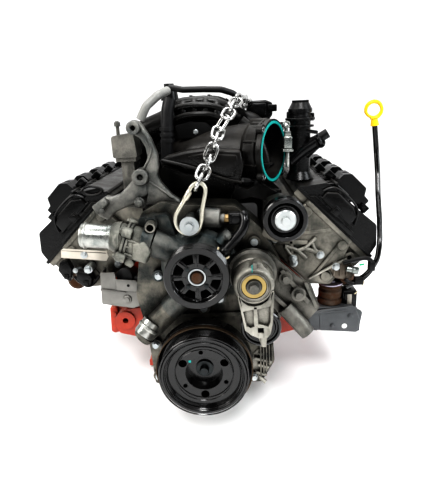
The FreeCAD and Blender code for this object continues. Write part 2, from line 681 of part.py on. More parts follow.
def tensioner_base(cover, pump):
    # The spring drum and the bracket casting that carries it.
    case = turned([(0, -668), (38, -668), (40, -664), (40, -640), (46, -638), (46, -626), (0, -626)],
                  tensioner_x, tensioner_z)
    plate = prism([(84, 158, 10), (128, 224, 8), (168, 184, 10), (186, 168, 6), (212, 150, 12),
                   (228, 104, 14),
                   (208, 80, 8), (178, 66, 8), (150, 90, 20), (100, 130, 20)], -626, -614)
    ribs = [prism([(120, 150), (126, 154), (190, 90), (184, 84)], -638, -624),
            prism([(150, 184), (156, 188), (208, 122), (202, 116)], -634, -624),
            prism([(196, 158), (202, 160), (224, 108), (218, 106)], -632, -624)]
    boss = rod((160, -628, 108), (203, -642, 58), 17, 15)
    bosses = [drum(161, 170, 13, -634, -600.5), drum(185, 139, 14, -640, -600.5),
              drum(196, 92, 12, -626, -604),
              drum(126, 208, 10, -634, -600.5)]
    body = fused([case, plate, boss] + ribs + bosses)
    body = body.cut(rod((176, -633.3, 89), (209, -644.0, 51), 6))
    heads = [hex_bolt(161, 170, -634, 13, 8), hex_bolt(185, 139, -640, 13, 8)]
    pin = drum(tensioner_x, tensioner_z, 10, -704, -667)
    washer = drum(tensioner_x, tensioner_z, 13, -707.5, -703.9)
    body = fused([seated(body, cover, pump), pin, washer,
                  hex_bolt(tensioner_x, tensioner_z, -707.4, 15, 7, 1.2)] + heads)
    return seated(body)


def tensioner_arm():
    x0, z0, x1, z1 = tensioner_x, tensioner_z, tensioner_pulley_x, tensioner_pulley_z
    head = turned([(0, -702), (30, -702), (36, -698), (37, -694), (37, -668.6), (0, -668.6)], x0, z0)
    web = prism([(x0 - 35, z0 - 6, 4), (x0 + 36, z0 - 2, 4), (x1 + 24, z1 + 4, 8), (x1 + 10, z1 - 16, 8),
                 (x1 - 10, z1 - 16, 8), (x1 - 22, z1 + 6, 8)], -706, -693.5)
    tongue = prism([(x1 - 7, z1 - 10), (x1 + 10, z1 - 10), (x1 + 11, z1 - 32, 3), (x1 - 3, z1 - 32, 3)],
                   -704, -695)
    lug = prism([(x0 - 26, z0 + 24, 3), (x0 - 10, z0 + 43, 3), (x0 + 6, z0 + 43, 3), (x0 + 16, z0 + 30, 3)],
                -700, -672)
    arm = fused([head, web, tongue, lug])
    arm = arm.cut(drum(x0, z0, 10 + bearing_clearance, -710, -660))
    arm = arm.cut(drum(x0, z0, 22, -710, -701.5))
    pockets = [[(-17, 16, 3), (-3, 16, 3), (-5, 46, 3), (-26, 46, 3)],
               [(4, 16, 3), (17, 16, 3), (19, 46, 3), (2, 46, 3)]]
    for pocket in pockets:
        arm = arm.cut(prism([(x1 + x, z1 + z, r) for x, z, r in pocket], -707, -700))
    arm = arm.cut(box(x1 - 5, x1 + 5, -707, -696, z1 - 5, z1 + 5))
    return seated(arm.fuse(drum(x1, z1, 12, -694, -668)))


def tensioner_ring():
    return ring(tensioner_x, tensioner_z, 21.6, 14.5, -703.0, -701.5)


def tensioner_pulley():
    r = tensioner_pulley_r
    return turned([(12.05, -691), (12.05, -668), (16, -664), (26, -664), (26, -668), (r - 2, -668),
                   (r, -666), (r, -690), (r - 2, -692), (r - 5, -692), (r - 7, -688), (27, -688),
                   (25, -691)],
                  tensioner_pulley_x, tensioner_pulley_z)


# ---------------------------------------------------------------- inlet side

def throttle_frame(shape):
    # From a frame with the duct along Y (mouth towards -Y) to the throttle opening.
    shape = shape.copy()
    shape.rotate(Vector(0, 0, 0), Vector(0, 0, 1), throttle_angle)
    shape.translate(throttle_centre)
    return shape


def intake_manifold(heads):
    front, rear = -408, -84
    plenum = prism([(-92, 380, 26), (92, 380, 26), (116, 430, 30), (96, 478, 34), (44, plenum_top, 60),
                    (-44, plenum_top, 60), (-96, 478, 34), (-116, 430, 30)], front, rear)
    floor = prism([(-128, 318, 6), (-100, 330, 8), (100, 330, 8), (128, 318, 6), (128, 306), (-128, 306)],
                  -470, -60)
    tower = prism([(-70, 320), (70, 320), (86, 400), (-86, 400)], -440, -100)
    apron = prism([(-96, 330, 6), (-88, 372, 12), (-30, 352, 20), (70, 338, 10), (70, 328), (-90, 320)],
                  -478, -436)
    pieces = [plenum, floor, tower, apron]
    for side in (1, -1):
        shift = 0 if side > 0 else bank_offset
        for i, y in enumerate(cylinders):
            y = y + shift
            if side > 0 and i == 0:
                # The first driver-side runner stays low, under the throttle duct.
                pieces.append(prism([(60, 322), (66, 330), (150, 330, 14), (168, 312, 6), (168, 303),
                                     (66, 303)],
                                    y - 24, y + 24))
                continue
            pieces.append(pipe([(side * 60, y, 466), (side * 124, y, 442), (side * 148, y, 392),
                                (side * 146, y, 303)], 24, 36))
        foot = box(min(side * 122, side * 168), max(side * 122, side * 168), cylinders[0] - 40 + shift,
                   cylinders[-1] + 40 + shift, 301, 314)
        pieces.append(foot)
    inward = Vector(-math.sin(math.radians(throttle_angle)), math.cos(math.radians(throttle_angle)), 0)
    duct = [throttle_centre, throttle_centre + inward * 62, Vector(32, -446, 389), Vector(-20, -430, 380),
            Vector(-52, -404, 373), Vector(-46, -340, 392)]
    duct_radii = [57, 56, 53, 49, 45, 44]
    mouth = throttle_frame(turned([(0, -6), (64, -6), (64, 4), (60, 8), (60, 34), (54, 46), (0, 46)]))
    pieces += [horn(duct, duct_radii), mouth]
    ears = []
    for a in (45, 135, 225, 315):
        angle = math.radians(a)
        x, z = throttle_bolt_r * math.cos(angle), throttle_bolt_r * math.sin(angle)
        ears.append(throttle_frame(drum(x, z, 10, -6, 6)))
    pieces += ears
    pieces.append(prism([(60, 296, 3), (72, 332, 3), (96, 320, 3), (120, 334, 3), (158, 312, 3),
                         (150, 292, 3),
                         (104, 304, 3)], -512, -470))
    for x in (-60, -20, 20, 60):
        bar = prism([(x - 3, 420), (x + 3, 420), (x + 3, plenum_top + 3), (x - 3, plenum_top + 3)],
                    front + 8, rear - 8)
        crown = prism([(-90, 420), (90, 420), (94, 480, 24), (44, plenum_top + 3, 50),
                       (-44, plenum_top + 3, 50),
                       (-94, 480, 24)], front, rear)
        pieces.append(bar.common(crown))
    body = fused(pieces)
    body = body.cut(horn(duct, [r - 6 for r in duct_radii]))
    body = body.cut(throttle_frame(turned([(0, -10), (throttle_bore_r, -10), (throttle_bore_r, 40),
                                           (0, 40)])))
    room = prism([(-84, 392, 20), (84, 392, 20), (104, 430, 24), (88, 470, 28), (40, plenum_top - 6, 50),
                  (-40, plenum_top - 6, 50), (-88, 470, 28), (-104, 430, 24)], front + 8, rear - 8)
    body = body.cut(room)
    body = body.cut(prism([(-56, 336), (56, 336), (66, 384), (-66, 384)], -430, -110))
    for a in (45, 135, 225, 315):
        angle = math.radians(a)
        x, z = throttle_bolt_r * math.cos(angle), throttle_bolt_r * math.sin(angle)
        body = body.cut(throttle_frame(drum(x, z, 3.3, -8, 8)))
    body = body.cut(throttle_frame(turned([(54.6, -7), (60.4, -7), (60.4, -4), (54.6, -4)])))
    return seated(body, *heads)


def throttle_gasket():
    return throttle_frame(turned([(54.8, -7.4), (60.2, -7.4), (60.2, -4), (54.8, -4)]))


def valley_pad():
    # Foam block that fills the valley under the manifold.
    return prism([(-108, 207, 6), (108, 207, 6), (116, 232, 8), (116, 290, 8), (-116, 290, 8),
                  (-116, 232, 8)],
                 -512, -70)


def fuel_rails():
    pieces = []
    for side in (1, -1):
        shift = 0 if side > 0 else bank_offset
        y0, y1 = cylinders[0] + 26 + shift, cylinders[-1] + 30 + shift
        rail = rod((side * 181, y0, 352), (side * 181, y1, 352), 7)
        pieces.append(rail)
    return together(pieces)


def oil_filler_tube(covers):
    x, y = 212, -450
    tube = rod((x, y, 326), (x, y, 467), 22)
    collar = rod((x, y, 455), (x, y, 461), 25)
    foot = rod((x, y, 330), (x, y, 346), 30, 22.5)
    arm = pipe([(x, y + 10, 366), (x + 10, y - 10, 380), (x + 34, y - 16, 404), (x + 38, y - 34, 406)], 10, 14)
    side_arm = pipe([(x + 8, y, 400), (x + 32, y - 10, 410), (x + 56, y - 12, 424)], 10, 14)
    body = fused([tube, collar, foot, arm, side_arm])
    body = body.cut(rod((x, y, 380), (x, y, 468), 19))
    body = body.cut(rod((x + 36, y - 25, 405), (x + 38.3, y - 36, 406.3), 7))
    return seated(body, *covers)


def oil_filler_cap():
    x, y = 212, -450
    skirt = rod((x, y, 467.4), (x, y, 475), 25)
    top = rod((x, y, 475), (x, y, 487), 24, 18)
    plug = rod((x, y, 452), (x, y, 467.4), 18.95)
    grip = box(x - 17, x + 17, y - 4, y + 4, 486, 492)
    return fused([skirt, top, plug, grip])


def egr_valve(neighbours):
    housing = prism([(-168, 398, 4), (-168, 440, 6), (-124, 446, 6), (-120, 398, 4)], -540, -488)
    base = prism([(-156, 312, 3), (-156, 392, 3), (-130, 392, 3), (-130, 312, 3)], -528, -500)
    collar = box(-164, -124, -536, -492, 390, 398)
    pin = fused([rod((-158, -520, 438), (-158, -520, 468), 3.5),
                 rod((-158, -520, 458), (-158, -520, 466), 6)])
    return seated(fused([housing, collar, base, pin]), *neighbours)


def accessory_bracket(cover, others):
    y0, y1 = -572.0, -550.0
    arm = prism([(-124, 452, 8), (-118, 470, 10), (-100, 464, 12), (-77, 424, 30), (-70, 398, 20),
                 (-72, 366, 14),
                 (-50, 340, 24), (-34, 322, 6), (-96, 322, 6), (-100, 380, 20), (-96, 410, 24)], y0, y1)
    branch = prism([(-92, 346, 10), (-118, 350, 10), (-176, 318, 12), (-206, 324, 4), (-220, 300, 4),
                    (-196, 290, 6), (-160, 304, 14), (-92, 318, 6)], y0, y1)
    wedge = prism([(-206, 326, 3), (-176, 320, 3), (-190, 282, 3), (-222, 298, 3)], y0 - 16, y0 + 6)
    eye = drum(-112, 456, 12, -582, -548)
    boss = drum(-108, 365, 15, -588, -548)
    foot = prism([(-118, 334, 8), (-40, 334, 8), (-34, 314, 4), (-124, 306, 4)], -596, y1)
    body = fused([arm, branch, wedge, eye, boss, foot])
    body = body.cut(drum(-112, 456, 4.25, -590, -540)).cut(drum(-108, 365, 5.25, -590, -540))
    body = body.fuse(hex_bolt(-113, 318, -596, 13, 7))
    return seated(body, cover, *others)


# ---------------------------------------------------------------- mounts, hoses and lifting gear

def bracket_passenger(block):
    face = prism([(-225, 160, 6), (-196, 158, 4), (-194, 144, 3), (-146, 146, 18), (-140, 84, 18),
                  (-170, 72, 8),
                  (-222, 74, 6)], -564, -560)
    side = box(-226, -222, -560, -518, 72, 158)
    foot = prism([(-222, 78, 3), (-150, 74, 3), (-150, 56, 3), (-176, 40), (-222, 60, 3)], -530.4, -526.4)
    floor = box(-222, -160, -562, -528, 72, 76)
    tab = box(-192, -146, -576, -572, 116, 142)
    arm = box(-170, -150, -574, -562, 116, 122)
    body = fused([face, side, foot, floor, tab, arm])
    body = body.cut(drum(-160, 134, 4.3, -580, -555)).cut(drum(-186, 34, 6.5, -540, -520))
    bolt = hex_bolt(-166, 102, -564, 12, 7)
    return seated(body.fuse(bolt), block)


def mount_bracket_driver(block):
    plate = prism([(240, -24, 6), (348, -34, 8), (356, 20, 8), (334, 30, 6), (312, 14, 4), (240, 14, 2)],
                  -482, -477)
    shelf = box(240, 330, -500, -440, 14, 18)
    arm = prism([(150, -6, 6), (150, 50, 6), (190, 36, 8), (250, 14), (250, -22)], -490, -466)
    wing = box(346, 351, -482, -440, -30, 16)
    pad = box(128.2, 154, -496, -440, -16, 56)
    body = fused([plate, shelf, arm, wing, pad])
    body = body.cut(drum(319, -18, 5.5, -500, -430))
    return seated(body, block)


def engine_mount_driver():
    body = turned([(0, 0), (28, 0), (28, 10), (25, 14), (25, 34), (28, 38), (28, 52), (24, 56), (0, 56)])
    body.rotate(Vector(0, 0, 0), Vector(1, 0, 0), 90)
    body.translate(Vector(282, -470, 18))
    stud = rod((282, -470, 73), (282, -470, 90), 6)
    return fused([body, stud])


def mount_clip():
    return fused([box(332, 350, -476, -448, 34, 66), box(334, 348, -470, -452, 19, 36)])


def dipstick_parts(others):
    x, y = 377.5, -420.0
    route = [(300, -538, 108), (340, -548, 138), (360, -546, 170), (366, -536, 205), (374, -500, 245),
             (382, -456, 290), (386, -432, 333), (384, y, 380), (x, y, 432)]
    tube = pipe(route, 5.6, 60)
    top = Vector(*route[-1])
    lean = (top - Vector(*route[-2])).normalize()
    tube = tube.cut(rod(tuple(top - lean * 45), tuple(top + lean), 3.6))
    tab = box(338, 350, -556, -530, 150, 154)
    blade = rod(tuple(top - lean * 44), tuple(top + lean * 8), 2.5)
    collar = rod(tuple(top + lean * 0.4), tuple(top + lean * 14), 9, 7)
    centre = top + lean * 33
    loop = Part.makeTorus(17, 3.4, centre, along_y, 0, 360)
    loop = loop.cut(box(centre.x - 30, centre.x - 6, centre.y - 10, centre.y + 10, centre.z - 18,
                        centre.z - 6))
    return seated(tube, *others), fused([blade, collar, seated(loop)])


def top_hose():
    route = [(-74, -344, 534), (-42, -350, 527), (4, -352, 526), (46, -344, 524), (76, -330, 514),
             (94, -320, 490)]
    return pipe(route, 7, 30)


def breather_hose():
    tube = pipe([(-56, -474, 506), (-62, -478, 484), (-66, -480, 440), (-70, -482, 384)], 13, 40)
    cuffs = [rod((-66.5, -480.2, z), (-66.5, -480.2, z + 7), 15) for z in (420, 432, 444)]
    return fused([tube] + cuffs)


def crossover_elbow():
    return pipe([(-120, -476, 468), (-105, -478, 494), (-82, -464, 514), (-68, -420, 524)], 9, 20)


def vacuum_port():
    return fused([rod((-80, -300, 506), (-80, -300, 532), 22, 18),
                  rod((-80, -300, 532), (-80, -300, 544), 12)])


def chain_link(centre, direction, normal):
    # An octagonal wire keeps the faces few.
    r, bend, straight = link_wire_r, link_bend_r, link_straight
    section = [Vector(0, bend + r * math.cos(math.radians(45 * i + 22.5)),
                      r * math.sin(math.radians(45 * i + 22.5)))
               for i in range(8)]
    face = Part.Face(Part.makePolygon(section + section[:1]))
    pieces = []
    for side in (1, -1):
        bar = face.copy()
        bar.translate(Vector(-straight, 0, 0))
        bar = bar.extrude(Vector(2 * straight, 0, 0))
        bar.rotate(Vector(0, 0, 0), Vector(0, 0, 1), 0 if side > 0 else 180)
        end = face.copy()
        end.translate(Vector(side * straight, 0, 0))
        pieces += [bar, end.revolve(Vector(side * straight, 0, 0), Vector(0, 0, -side), 180)]
    link = fused(pieces)
    link.Placement = FreeCAD.Placement(centre, FreeCAD.Rotation(direction, Vector(0, 0, 0), normal, "XZY"))
    return link


def lifting_chain():
    # The links are set a pitch apart along the chain's line, each a quarter turn from the last.
    line = [Vector(*p) for p in chain_line]
    pitch = 2 * (link_straight + link_bend_r - link_wire_r) - link_play
    links, here, run = [], line[0], 0
    side, along = Vector(0, -1, 0), Vector(0, 0, 1)
    while run < len(line) - 1:
        target = line[run + 1]
        if (target - here).Length < pitch:
            run += 1
            continue
        want = (target - here).normalize()
        turn = min(math.degrees(along.getAngle(want)), link_turn)
        if turn > 0.01:
            along = FreeCAD.Rotation(along.cross(want), turn).multVec(along)
        side = (side - along * side.dot(along)).normalize()
        normal = side if len(links) % 2 else along.cross(side)
        links.append(chain_link(here + along * (pitch / 2), along, normal))
        here = here + along * pitch
    return together(links)


def snap_link():
    y, r = lift_face - 4, 4.5
    corners = [(-12, 257), (-36, 262), (-42, 290), (-24, 328), (-7, 360), (10, 369), (25, 357), (19, 326),
               (13, 300), (10, 268)]
    middle = ((corners[0][0] + corners[-1][0]) / 2, (corners[0][1] + corners[-1][1]) / 2)
    loop = [middle] + corners + [middle]
    return pipe([(x, y, z) for x, z in loop], r, 13)


def lifting_bolts():
    x, z = lift_x, lift_z
    front = fused([drum(x, z, 17.5, lift_face - 13, lift_face - 9),
                   drum(x, z, 9, lift_face - 9, lift_face - 0.4),
                   drum(x, z, 5.0, lift_face - 0.4, lift_face + 18), hex_bolt(x, z, lift_face - 13, 13, 8)])
    rear = fused([drum(212, 269, 16, -22, -18), drum(212, 269, 8, -42.9, -22),
                  hex_bolt(212, 269, -18, 13, 8, 1.35, 1)])
    return together([front, rear])


def cover_bolts():
    places = [(0, 100, -608), (98, -62, -608), (-104, -56, -608), (-104, 20, -608), (122, 30, -608),
              (104, 236, -608)]
    pump_places = [(34, 124, -616), (-84, 176, -616)]
    return together([hex_bolt(x, z, y, 11, 7) for x, z, y in places + pump_places])


# ---------------------------------------------------------------- assembly

def build():
    nodes = {}
    block = nodes["cylinder_block"] = cylinder_block()
    nodes["main_bearing_caps"] = main_bearing_caps()
    nodes["oil_pan"] = oil_pan()
    nodes["oil_pickup"] = oil_pickup()
    nodes["rear_seal_cover"] = rear_seal_cover()
    nodes["crankshaft"] = crankshaft()
    nodes["crank_sprocket"] = crank_sprocket()
    nodes["pistons"] = pistons()
    nodes["camshaft"] = camshaft()
    nodes["cam_sprocket"] = cam_sprocket()
    nodes["timing_chain"] = timing_chain()
    nodes["flexplate"] = flexplate()
    heads = []
    for name, side in (("driver", 1), ("passenger", -1)):
        head = nodes["cylinder_head_" + name] = cylinder_head(side)
        heads.append(head)
        nodes["valve_cover_" + name] = valve_cover(side)
        nodes["ignition_coils_" + name] = ignition_coils(side)
        nodes["exhaust_manifold_" + name] = exhaust_manifold(side)
    nodes["head_gaskets"] = head_gaskets()
    nodes["spark_plugs"] = spark_plugs()
    cover = nodes["timing_cover"] = timing_cover()
    pump = nodes["water_pump_housing"] = water_pump_housing(cover)
    nodes["thermostat_housing"] = thermostat_housing(pump, cover)
    nodes["lower_inlet_pipe"] = lower_inlet_pipe(pump, cover)
    nodes["heater_pipe"] = heater_pipe(pump)
    nodes["coolant_sensor"] = coolant_sensor(pump)
    nodes["harmonic_damper"] = harmonic_damper()
    nodes["damper_bolt"] = damper_bolt()
    nodes["water_pump_pulley"] = water_pump_pulley()
    nodes["water_pump_shaft"] = water_pump_shaft()
    nodes["idler_pulley"] = idler_pulley()
    nodes["idler_bolt"] = idler_bolt()
    nodes["tensioner_base"] = tensioner_base(cover, pump)
    nodes["tensioner_arm"] = tensioner_arm()
    nodes["tensioner_ring"] = tensioner_ring()
    nodes["tensioner_pulley"] = tensioner_pulley()
    intake = nodes["intake_manifold"] = intake_manifold(heads)
    nodes["throttle_gasket"] = throttle_gasket()
    nodes["valley_pad"] = valley_pad()
    nodes["fuel_rails"] = fuel_rails()
    covers = [nodes["valve_cover_driver"], nodes["valve_cover_passenger"]]
    nodes["oil_filler_tube"] = oil_filler_tube(covers)
    nodes["oil_filler_cap"] = oil_filler_cap()
    nodes["egr_valve"] = egr_valve([heads[1], covers[1], intake])
    nodes["accessory_bracket"] = accessory_bracket(cover, [heads[1], covers[1], intake])
    nodes["mount_bracket_passenger"] = bracket_passenger(block)
    nodes["mount_bracket_driver"] = mount_bracket_driver(block)
    nodes["engine_mount_driver"] = engine_mount_driver()
    nodes["mount_clip"] = mount_clip()
    nodes["dipstick_tube"], nodes["dipstick"] = dipstick_parts([block, heads[0], covers[0]])
    nodes["top_hose"] = top_hose()
    nodes["breather_hose"] = breather_hose()
    nodes["crossover_elbow"] = crossover_elbow()
    nodes["vacuum_port"] = vacuum_port()
    nodes["lifting_chain"] = lifting_chain()
    nodes["snap_link"] = snap_link()
    nodes["lifting_bolts"] = lifting_bolts()
    nodes["cover_bolts"] = cover_bolts()
    return nodes


os.makedirs("parts", exist_ok=True)
for node_name, node_shape in build().items():
    node_shape.exportStep("parts/" + node_name + ".step")
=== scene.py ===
import bmesh
import bpy
import math
from mathutils import Euler, Matrix, Vector


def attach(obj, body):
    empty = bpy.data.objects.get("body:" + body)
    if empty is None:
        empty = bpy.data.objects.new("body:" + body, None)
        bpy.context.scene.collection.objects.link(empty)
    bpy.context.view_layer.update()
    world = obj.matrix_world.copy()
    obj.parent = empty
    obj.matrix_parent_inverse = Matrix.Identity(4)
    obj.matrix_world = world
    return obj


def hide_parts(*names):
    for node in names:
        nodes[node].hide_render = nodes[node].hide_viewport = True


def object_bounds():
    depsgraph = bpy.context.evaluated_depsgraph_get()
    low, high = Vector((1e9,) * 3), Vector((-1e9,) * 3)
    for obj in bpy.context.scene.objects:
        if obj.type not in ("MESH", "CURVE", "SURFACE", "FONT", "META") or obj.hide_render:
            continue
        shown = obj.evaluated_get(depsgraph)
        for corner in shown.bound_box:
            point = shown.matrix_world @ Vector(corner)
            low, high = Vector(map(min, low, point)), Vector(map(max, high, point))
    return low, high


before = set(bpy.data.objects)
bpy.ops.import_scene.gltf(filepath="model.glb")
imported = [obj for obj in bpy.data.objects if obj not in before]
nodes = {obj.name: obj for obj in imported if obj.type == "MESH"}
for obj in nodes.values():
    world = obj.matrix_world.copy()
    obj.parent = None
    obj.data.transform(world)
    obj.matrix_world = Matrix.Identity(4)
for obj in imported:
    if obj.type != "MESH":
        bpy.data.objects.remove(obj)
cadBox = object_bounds()
milli = 0.001
cylinderPitch = 113.3
bankOffset = 23.6
print("frame loaded:", len(nodes), "nodes")


view = {
    "place": (0.07132, -1.39698, 0.48678), "yaw": -2.50, "pitch": -17.16, "roll": 2.636,
    "lens": 32.40, "side": 36.0
}


def placeCamera():
    yaw, pitch, roll = (math.radians(view[k]) for k in ("yaw", "pitch", "roll"))
    forward = Vector((math.sin(yaw) * math.cos(pitch), math.cos(yaw) * math.cos(pitch), math.sin(pitch)))
    right = Vector((math.cos(yaw), -math.sin(yaw), 0))
    up = right.cross(forward)
    across = right * math.cos(roll) - up * math.sin(roll)
    upright = right * math.sin(roll) + up * math.cos(roll)
    data = bpy.data.cameras.new("camera")
    data.sensor_fit = "VERTICAL"
    data.sensor_height = view["side"]
    data.lens = view["lens"]
    data.clip_start, data.clip_end = 0.05, 200
    camera = bpy.data.objects.new("camera", data)
    bpy.context.scene.collection.objects.link(camera)
    turn = Matrix((across, upright, -forward)).transposed().to_4x4()
    camera.matrix_world = Matrix.Translation(view["place"]) @ turn
    bpy.context.scene.camera = camera


studio = {
    "sun": 2.1, "sunAngle": 14, "sunTurn": (-40, 14, -18), "world": (0.66, 0.66, 0.66),
        "worldStrength": 0.1,
    "left": {"place": (-1.9, -1.5, 1.6), "size": (0.7, 1.6), "power": 34, "tint": (1, 0.98, 0.95)},
    "right": {"place": (2.1, -1.2, 1.3), "size": (0.5, 1.6), "power": 26, "tint": (0.93, 0.97, 1)},
    "top": {"place": (0.1, -0.2, 2.2), "size": (1.6, 1.4), "power": 30, "tint": (1, 1, 1)}
}


def placeLights():
    scene = bpy.context.scene
    scene.view_settings.view_transform = "Standard"
    scene.view_settings.look = "High Contrast"
    scene.view_settings.exposure = 0.1
    sun = bpy.data.lights.new("sun", "SUN")
    sun.energy, sun.angle = studio["sun"], math.radians(studio["sunAngle"])
    lamp = bpy.data.objects.new("sun", sun)
    lamp.rotation_euler = Euler([math.radians(-a) for a in studio["sunTurn"]])
    scene.collection.objects.link(lamp)
    for key in ("left", "right", "top"):
        card = studio[key]
        data = bpy.data.lights.new(key + "Card", "AREA")
        data.shape, data.size, data.size_y = "RECTANGLE", card["size"][0], card["size"][1]
        data.energy, data.color = card["power"], card["tint"]
        lamp = bpy.data.objects.new(key + "Card", data)
        aim = Vector((0, -0.35, 0.15)) - Vector(card["place"])
        lamp.matrix_world = Matrix.Translation(card["place"]) @ aim.to_track_quat("-Z",
            "Y").to_matrix().to_4x4()
        scene.collection.objects.link(lamp)
    world = bpy.data.worlds.new("room")
    world.use_nodes = True
    sky = world.node_tree.nodes["Background"]
    sky.inputs["Color"].default_value = studio["world"] + (1,)
    sky.inputs["Strength"].default_value = studio["worldStrength"]
    scene.world = world


class Wire:
    # One socket of a node tree. Arithmetic on it adds Math nodes.
    def __init__(self, tree, socket):
        self.tree, self.socket = tree, socket

    def math(self, operation, other, swap=False):
        node = self.tree.nodes.new("ShaderNodeMath")
        node.operation = operation
        pair = [self, other] if not swap else [other, self]
        for slotAt, value in enumerate(pair):
            if isinstance(value, Wire):
                self.tree.links.new(value.socket, node.inputs[slotAt])
            else:
                node.inputs[slotAt].default_value = value
        return Wire(self.tree, node.outputs[0])

    def __add__(self, other):
        return self.math("ADD", other)

    def __radd__(self, other):
        return self.math("ADD", other)

    def __sub__(self, other):
        return self.math("SUBTRACT", other)

    def __rsub__(self, other):
        return self.math("SUBTRACT", other, swap=True)

    def __mul__(self, other):
        return self.math("MULTIPLY", other)

    def __rmul__(self, other):
        return self.math("MULTIPLY", other)

    def step(self, low, high):
        # 0 below low, 1 above high, smooth between.
        node = self.tree.nodes.new("ShaderNodeMapRange")
        node.interpolation_type = "SMOOTHSTEP"
        self.tree.links.new(self.socket, node.inputs["Value"])
        node.inputs["From Min"].default_value = low
        node.inputs["From Max"].default_value = high
        return Wire(self.tree, node.outputs["Result"])


class Finish:
    # A material: node() makes most of its nodes, and the other methods name what they are for.
    def __init__(self, name, metallic=0.0, roughness=0.5, coat=0.0, edge=0.0008):
        self.material = bpy.data.materials.new(name)
        self.material.use_nodes = True
        self.tree = self.material.node_tree
        self.tree.nodes.clear()
        self.shader = self.tree.nodes.new("ShaderNodeBsdfPrincipled")
        output = self.tree.nodes.new("ShaderNodeOutputMaterial")
        self.tree.links.new(self.shader.outputs[0], output.inputs["Surface"])
        self.shader.inputs["Metallic"].default_value = metallic
        self.shader.inputs["Roughness"].default_value = roughness
        self.shader.inputs["Coat Weight"].default_value = coat
        self.place = self.node("ShaderNodeTexCoord", {}, {}, "Object")
        self.rounded = self.node("ShaderNodeBevel", {"samples": 4}, {"Radius": edge}, 0) if edge else None

    def node(self, kind, settings, values, output=0):
        node = self.tree.nodes.new(kind)
        for key, value in settings.items():
            setattr(node, key, value)
        for key, value in values.items():
            if isinstance(value, Wire):
                self.tree.links.new(value.socket, node.inputs[key])
            else:
                node.inputs[key].default_value = value
        return Wire(self.tree, node.outputs[output])

    def noise(self, scale, detail=3.0, rough=0.55, stretch=None):
        place = self.place
        if stretch:
            place = self.node("ShaderNodeMapping", {}, {"Vector": place, "Scale": stretch})
        return self.node("ShaderNodeTexNoise", {}, {"Vector": place, "Scale": scale, "Detail": detail,
            "Roughness": rough})

    def cells(self, scale):
        return self.node("ShaderNodeTexVoronoi", {}, {"Vector": self.place, "Scale": scale}, "Distance")

    def mix(self, low, high, share):
        node = self.tree.nodes.new("ShaderNodeMix")
        node.data_type = "RGBA"
        for key, value in ((0, share), (6, low), (7, high)):
            if isinstance(value, Wire):
                self.tree.links.new(value.socket, node.inputs[key])
            elif key:
                node.inputs[key].default_value = tuple(value) + (1,)
            else:
                node.inputs[key].default_value = value
        return Wire(self.tree, node.outputs[2])

    def hollow(self, reach):
        # 0 deep in a corner, 1 on an open face.
        return self.node("ShaderNodeAmbientOcclusion", {"samples": 4}, {"Distance": reach}, "AO")

    def upward(self):
        normal = self.node("ShaderNodeNewGeometry", {}, {}, "Normal")
        return self.node("ShaderNodeSeparateXYZ", {}, {"Vector": normal}, "Z")

    def feed(self, socket, value):
        self.tree.links.new(value.socket, self.shader.inputs[socket])

    def bump(self, height, distance, strength=1.0):
        values = {"Height": height, "Distance": distance, "Strength": strength}
        if self.rounded:
            values["Normal"] = self.rounded
        self.feed("Normal", self.node("ShaderNodeBump", {}, values))


def castFinish(name, light, dark, cornerShade, roughness=0.34, metallic=0.9, grain=1.0, edge=0.0012, worn=0.5):
    # Sand-cast or die-cast metal: a fine grain, blotches, and painted shade darkening the corners.
    finish = Finish(name, metallic, roughness, edge=edge)
    blotch = finish.noise(22, 5, 0.65)
    fine = finish.noise(1400, 2, 0.5)
    pores = finish.cells(620)
    corner = finish.hollow(0.028)
    streak = finish.noise(60, 4, 0.7, (1, 1, 0.25))
    body = finish.mix(dark, light, blotch.step(0.32, 0.68))
    body = finish.mix(body, [min(1, c * 1.35) for c in light], (streak.step(0.55, 0.75)) * worn)
    # Painted shade: ambient occlusion darkens the colour in corners and creases.
    body = finish.mix(cornerShade, body, corner.step(0.2, 0.97))
    finish.feed("Base Color", body)
    finish.feed("Roughness", blotch * 0.25 + fine * 0.12 + (1 - corner) * 0.25 + (roughness - 0.2))
    finish.bump(fine * 0.5 + pores * 0.5 + streak * 1.4 + blotch * 1.2, 0.0009 * grain, 0.8)
    return finish.material


def paintFinish(name, paint, dust, primer, roughness=0.4, coat=0.0, chips=0.72, metallic=0.0, edge=0.0009):
    # Paint over metal with dust on what faces up, painted shade in the corners and small chips.
    finish = Finish(name, metallic, roughness, coat, edge)
    blotch = finish.noise(18, 4, 0.6)
    speck = finish.noise(210, 4, 0.75)
    orange = finish.noise(520, 2)
    corner = finish.hollow(0.03)
    colour = finish.mix([c * 0.72 for c in paint], paint, blotch.step(0.3, 0.7))
    colour = finish.mix(colour, primer, speck.step(chips, chips + 0.05))
    settled = finish.upward().step(0.2, 1.0) * blotch.step(0.35, 0.75)
    colour = finish.mix(colour, dust, settled * 0.45)
    # Painted shade: ambient occlusion darkens the paint in corners and creases.
    colour = finish.mix([c * 0.22 for c in paint], colour, corner.step(0.1, 0.8))
    finish.feed("Base Color", colour)
    finish.feed("Roughness", blotch * 0.2 + settled * 0.25 + (roughness - 0.1))
    finish.bump(orange * 0.6 + speck * 0.4, 0.0004, 0.5)
    return finish.material


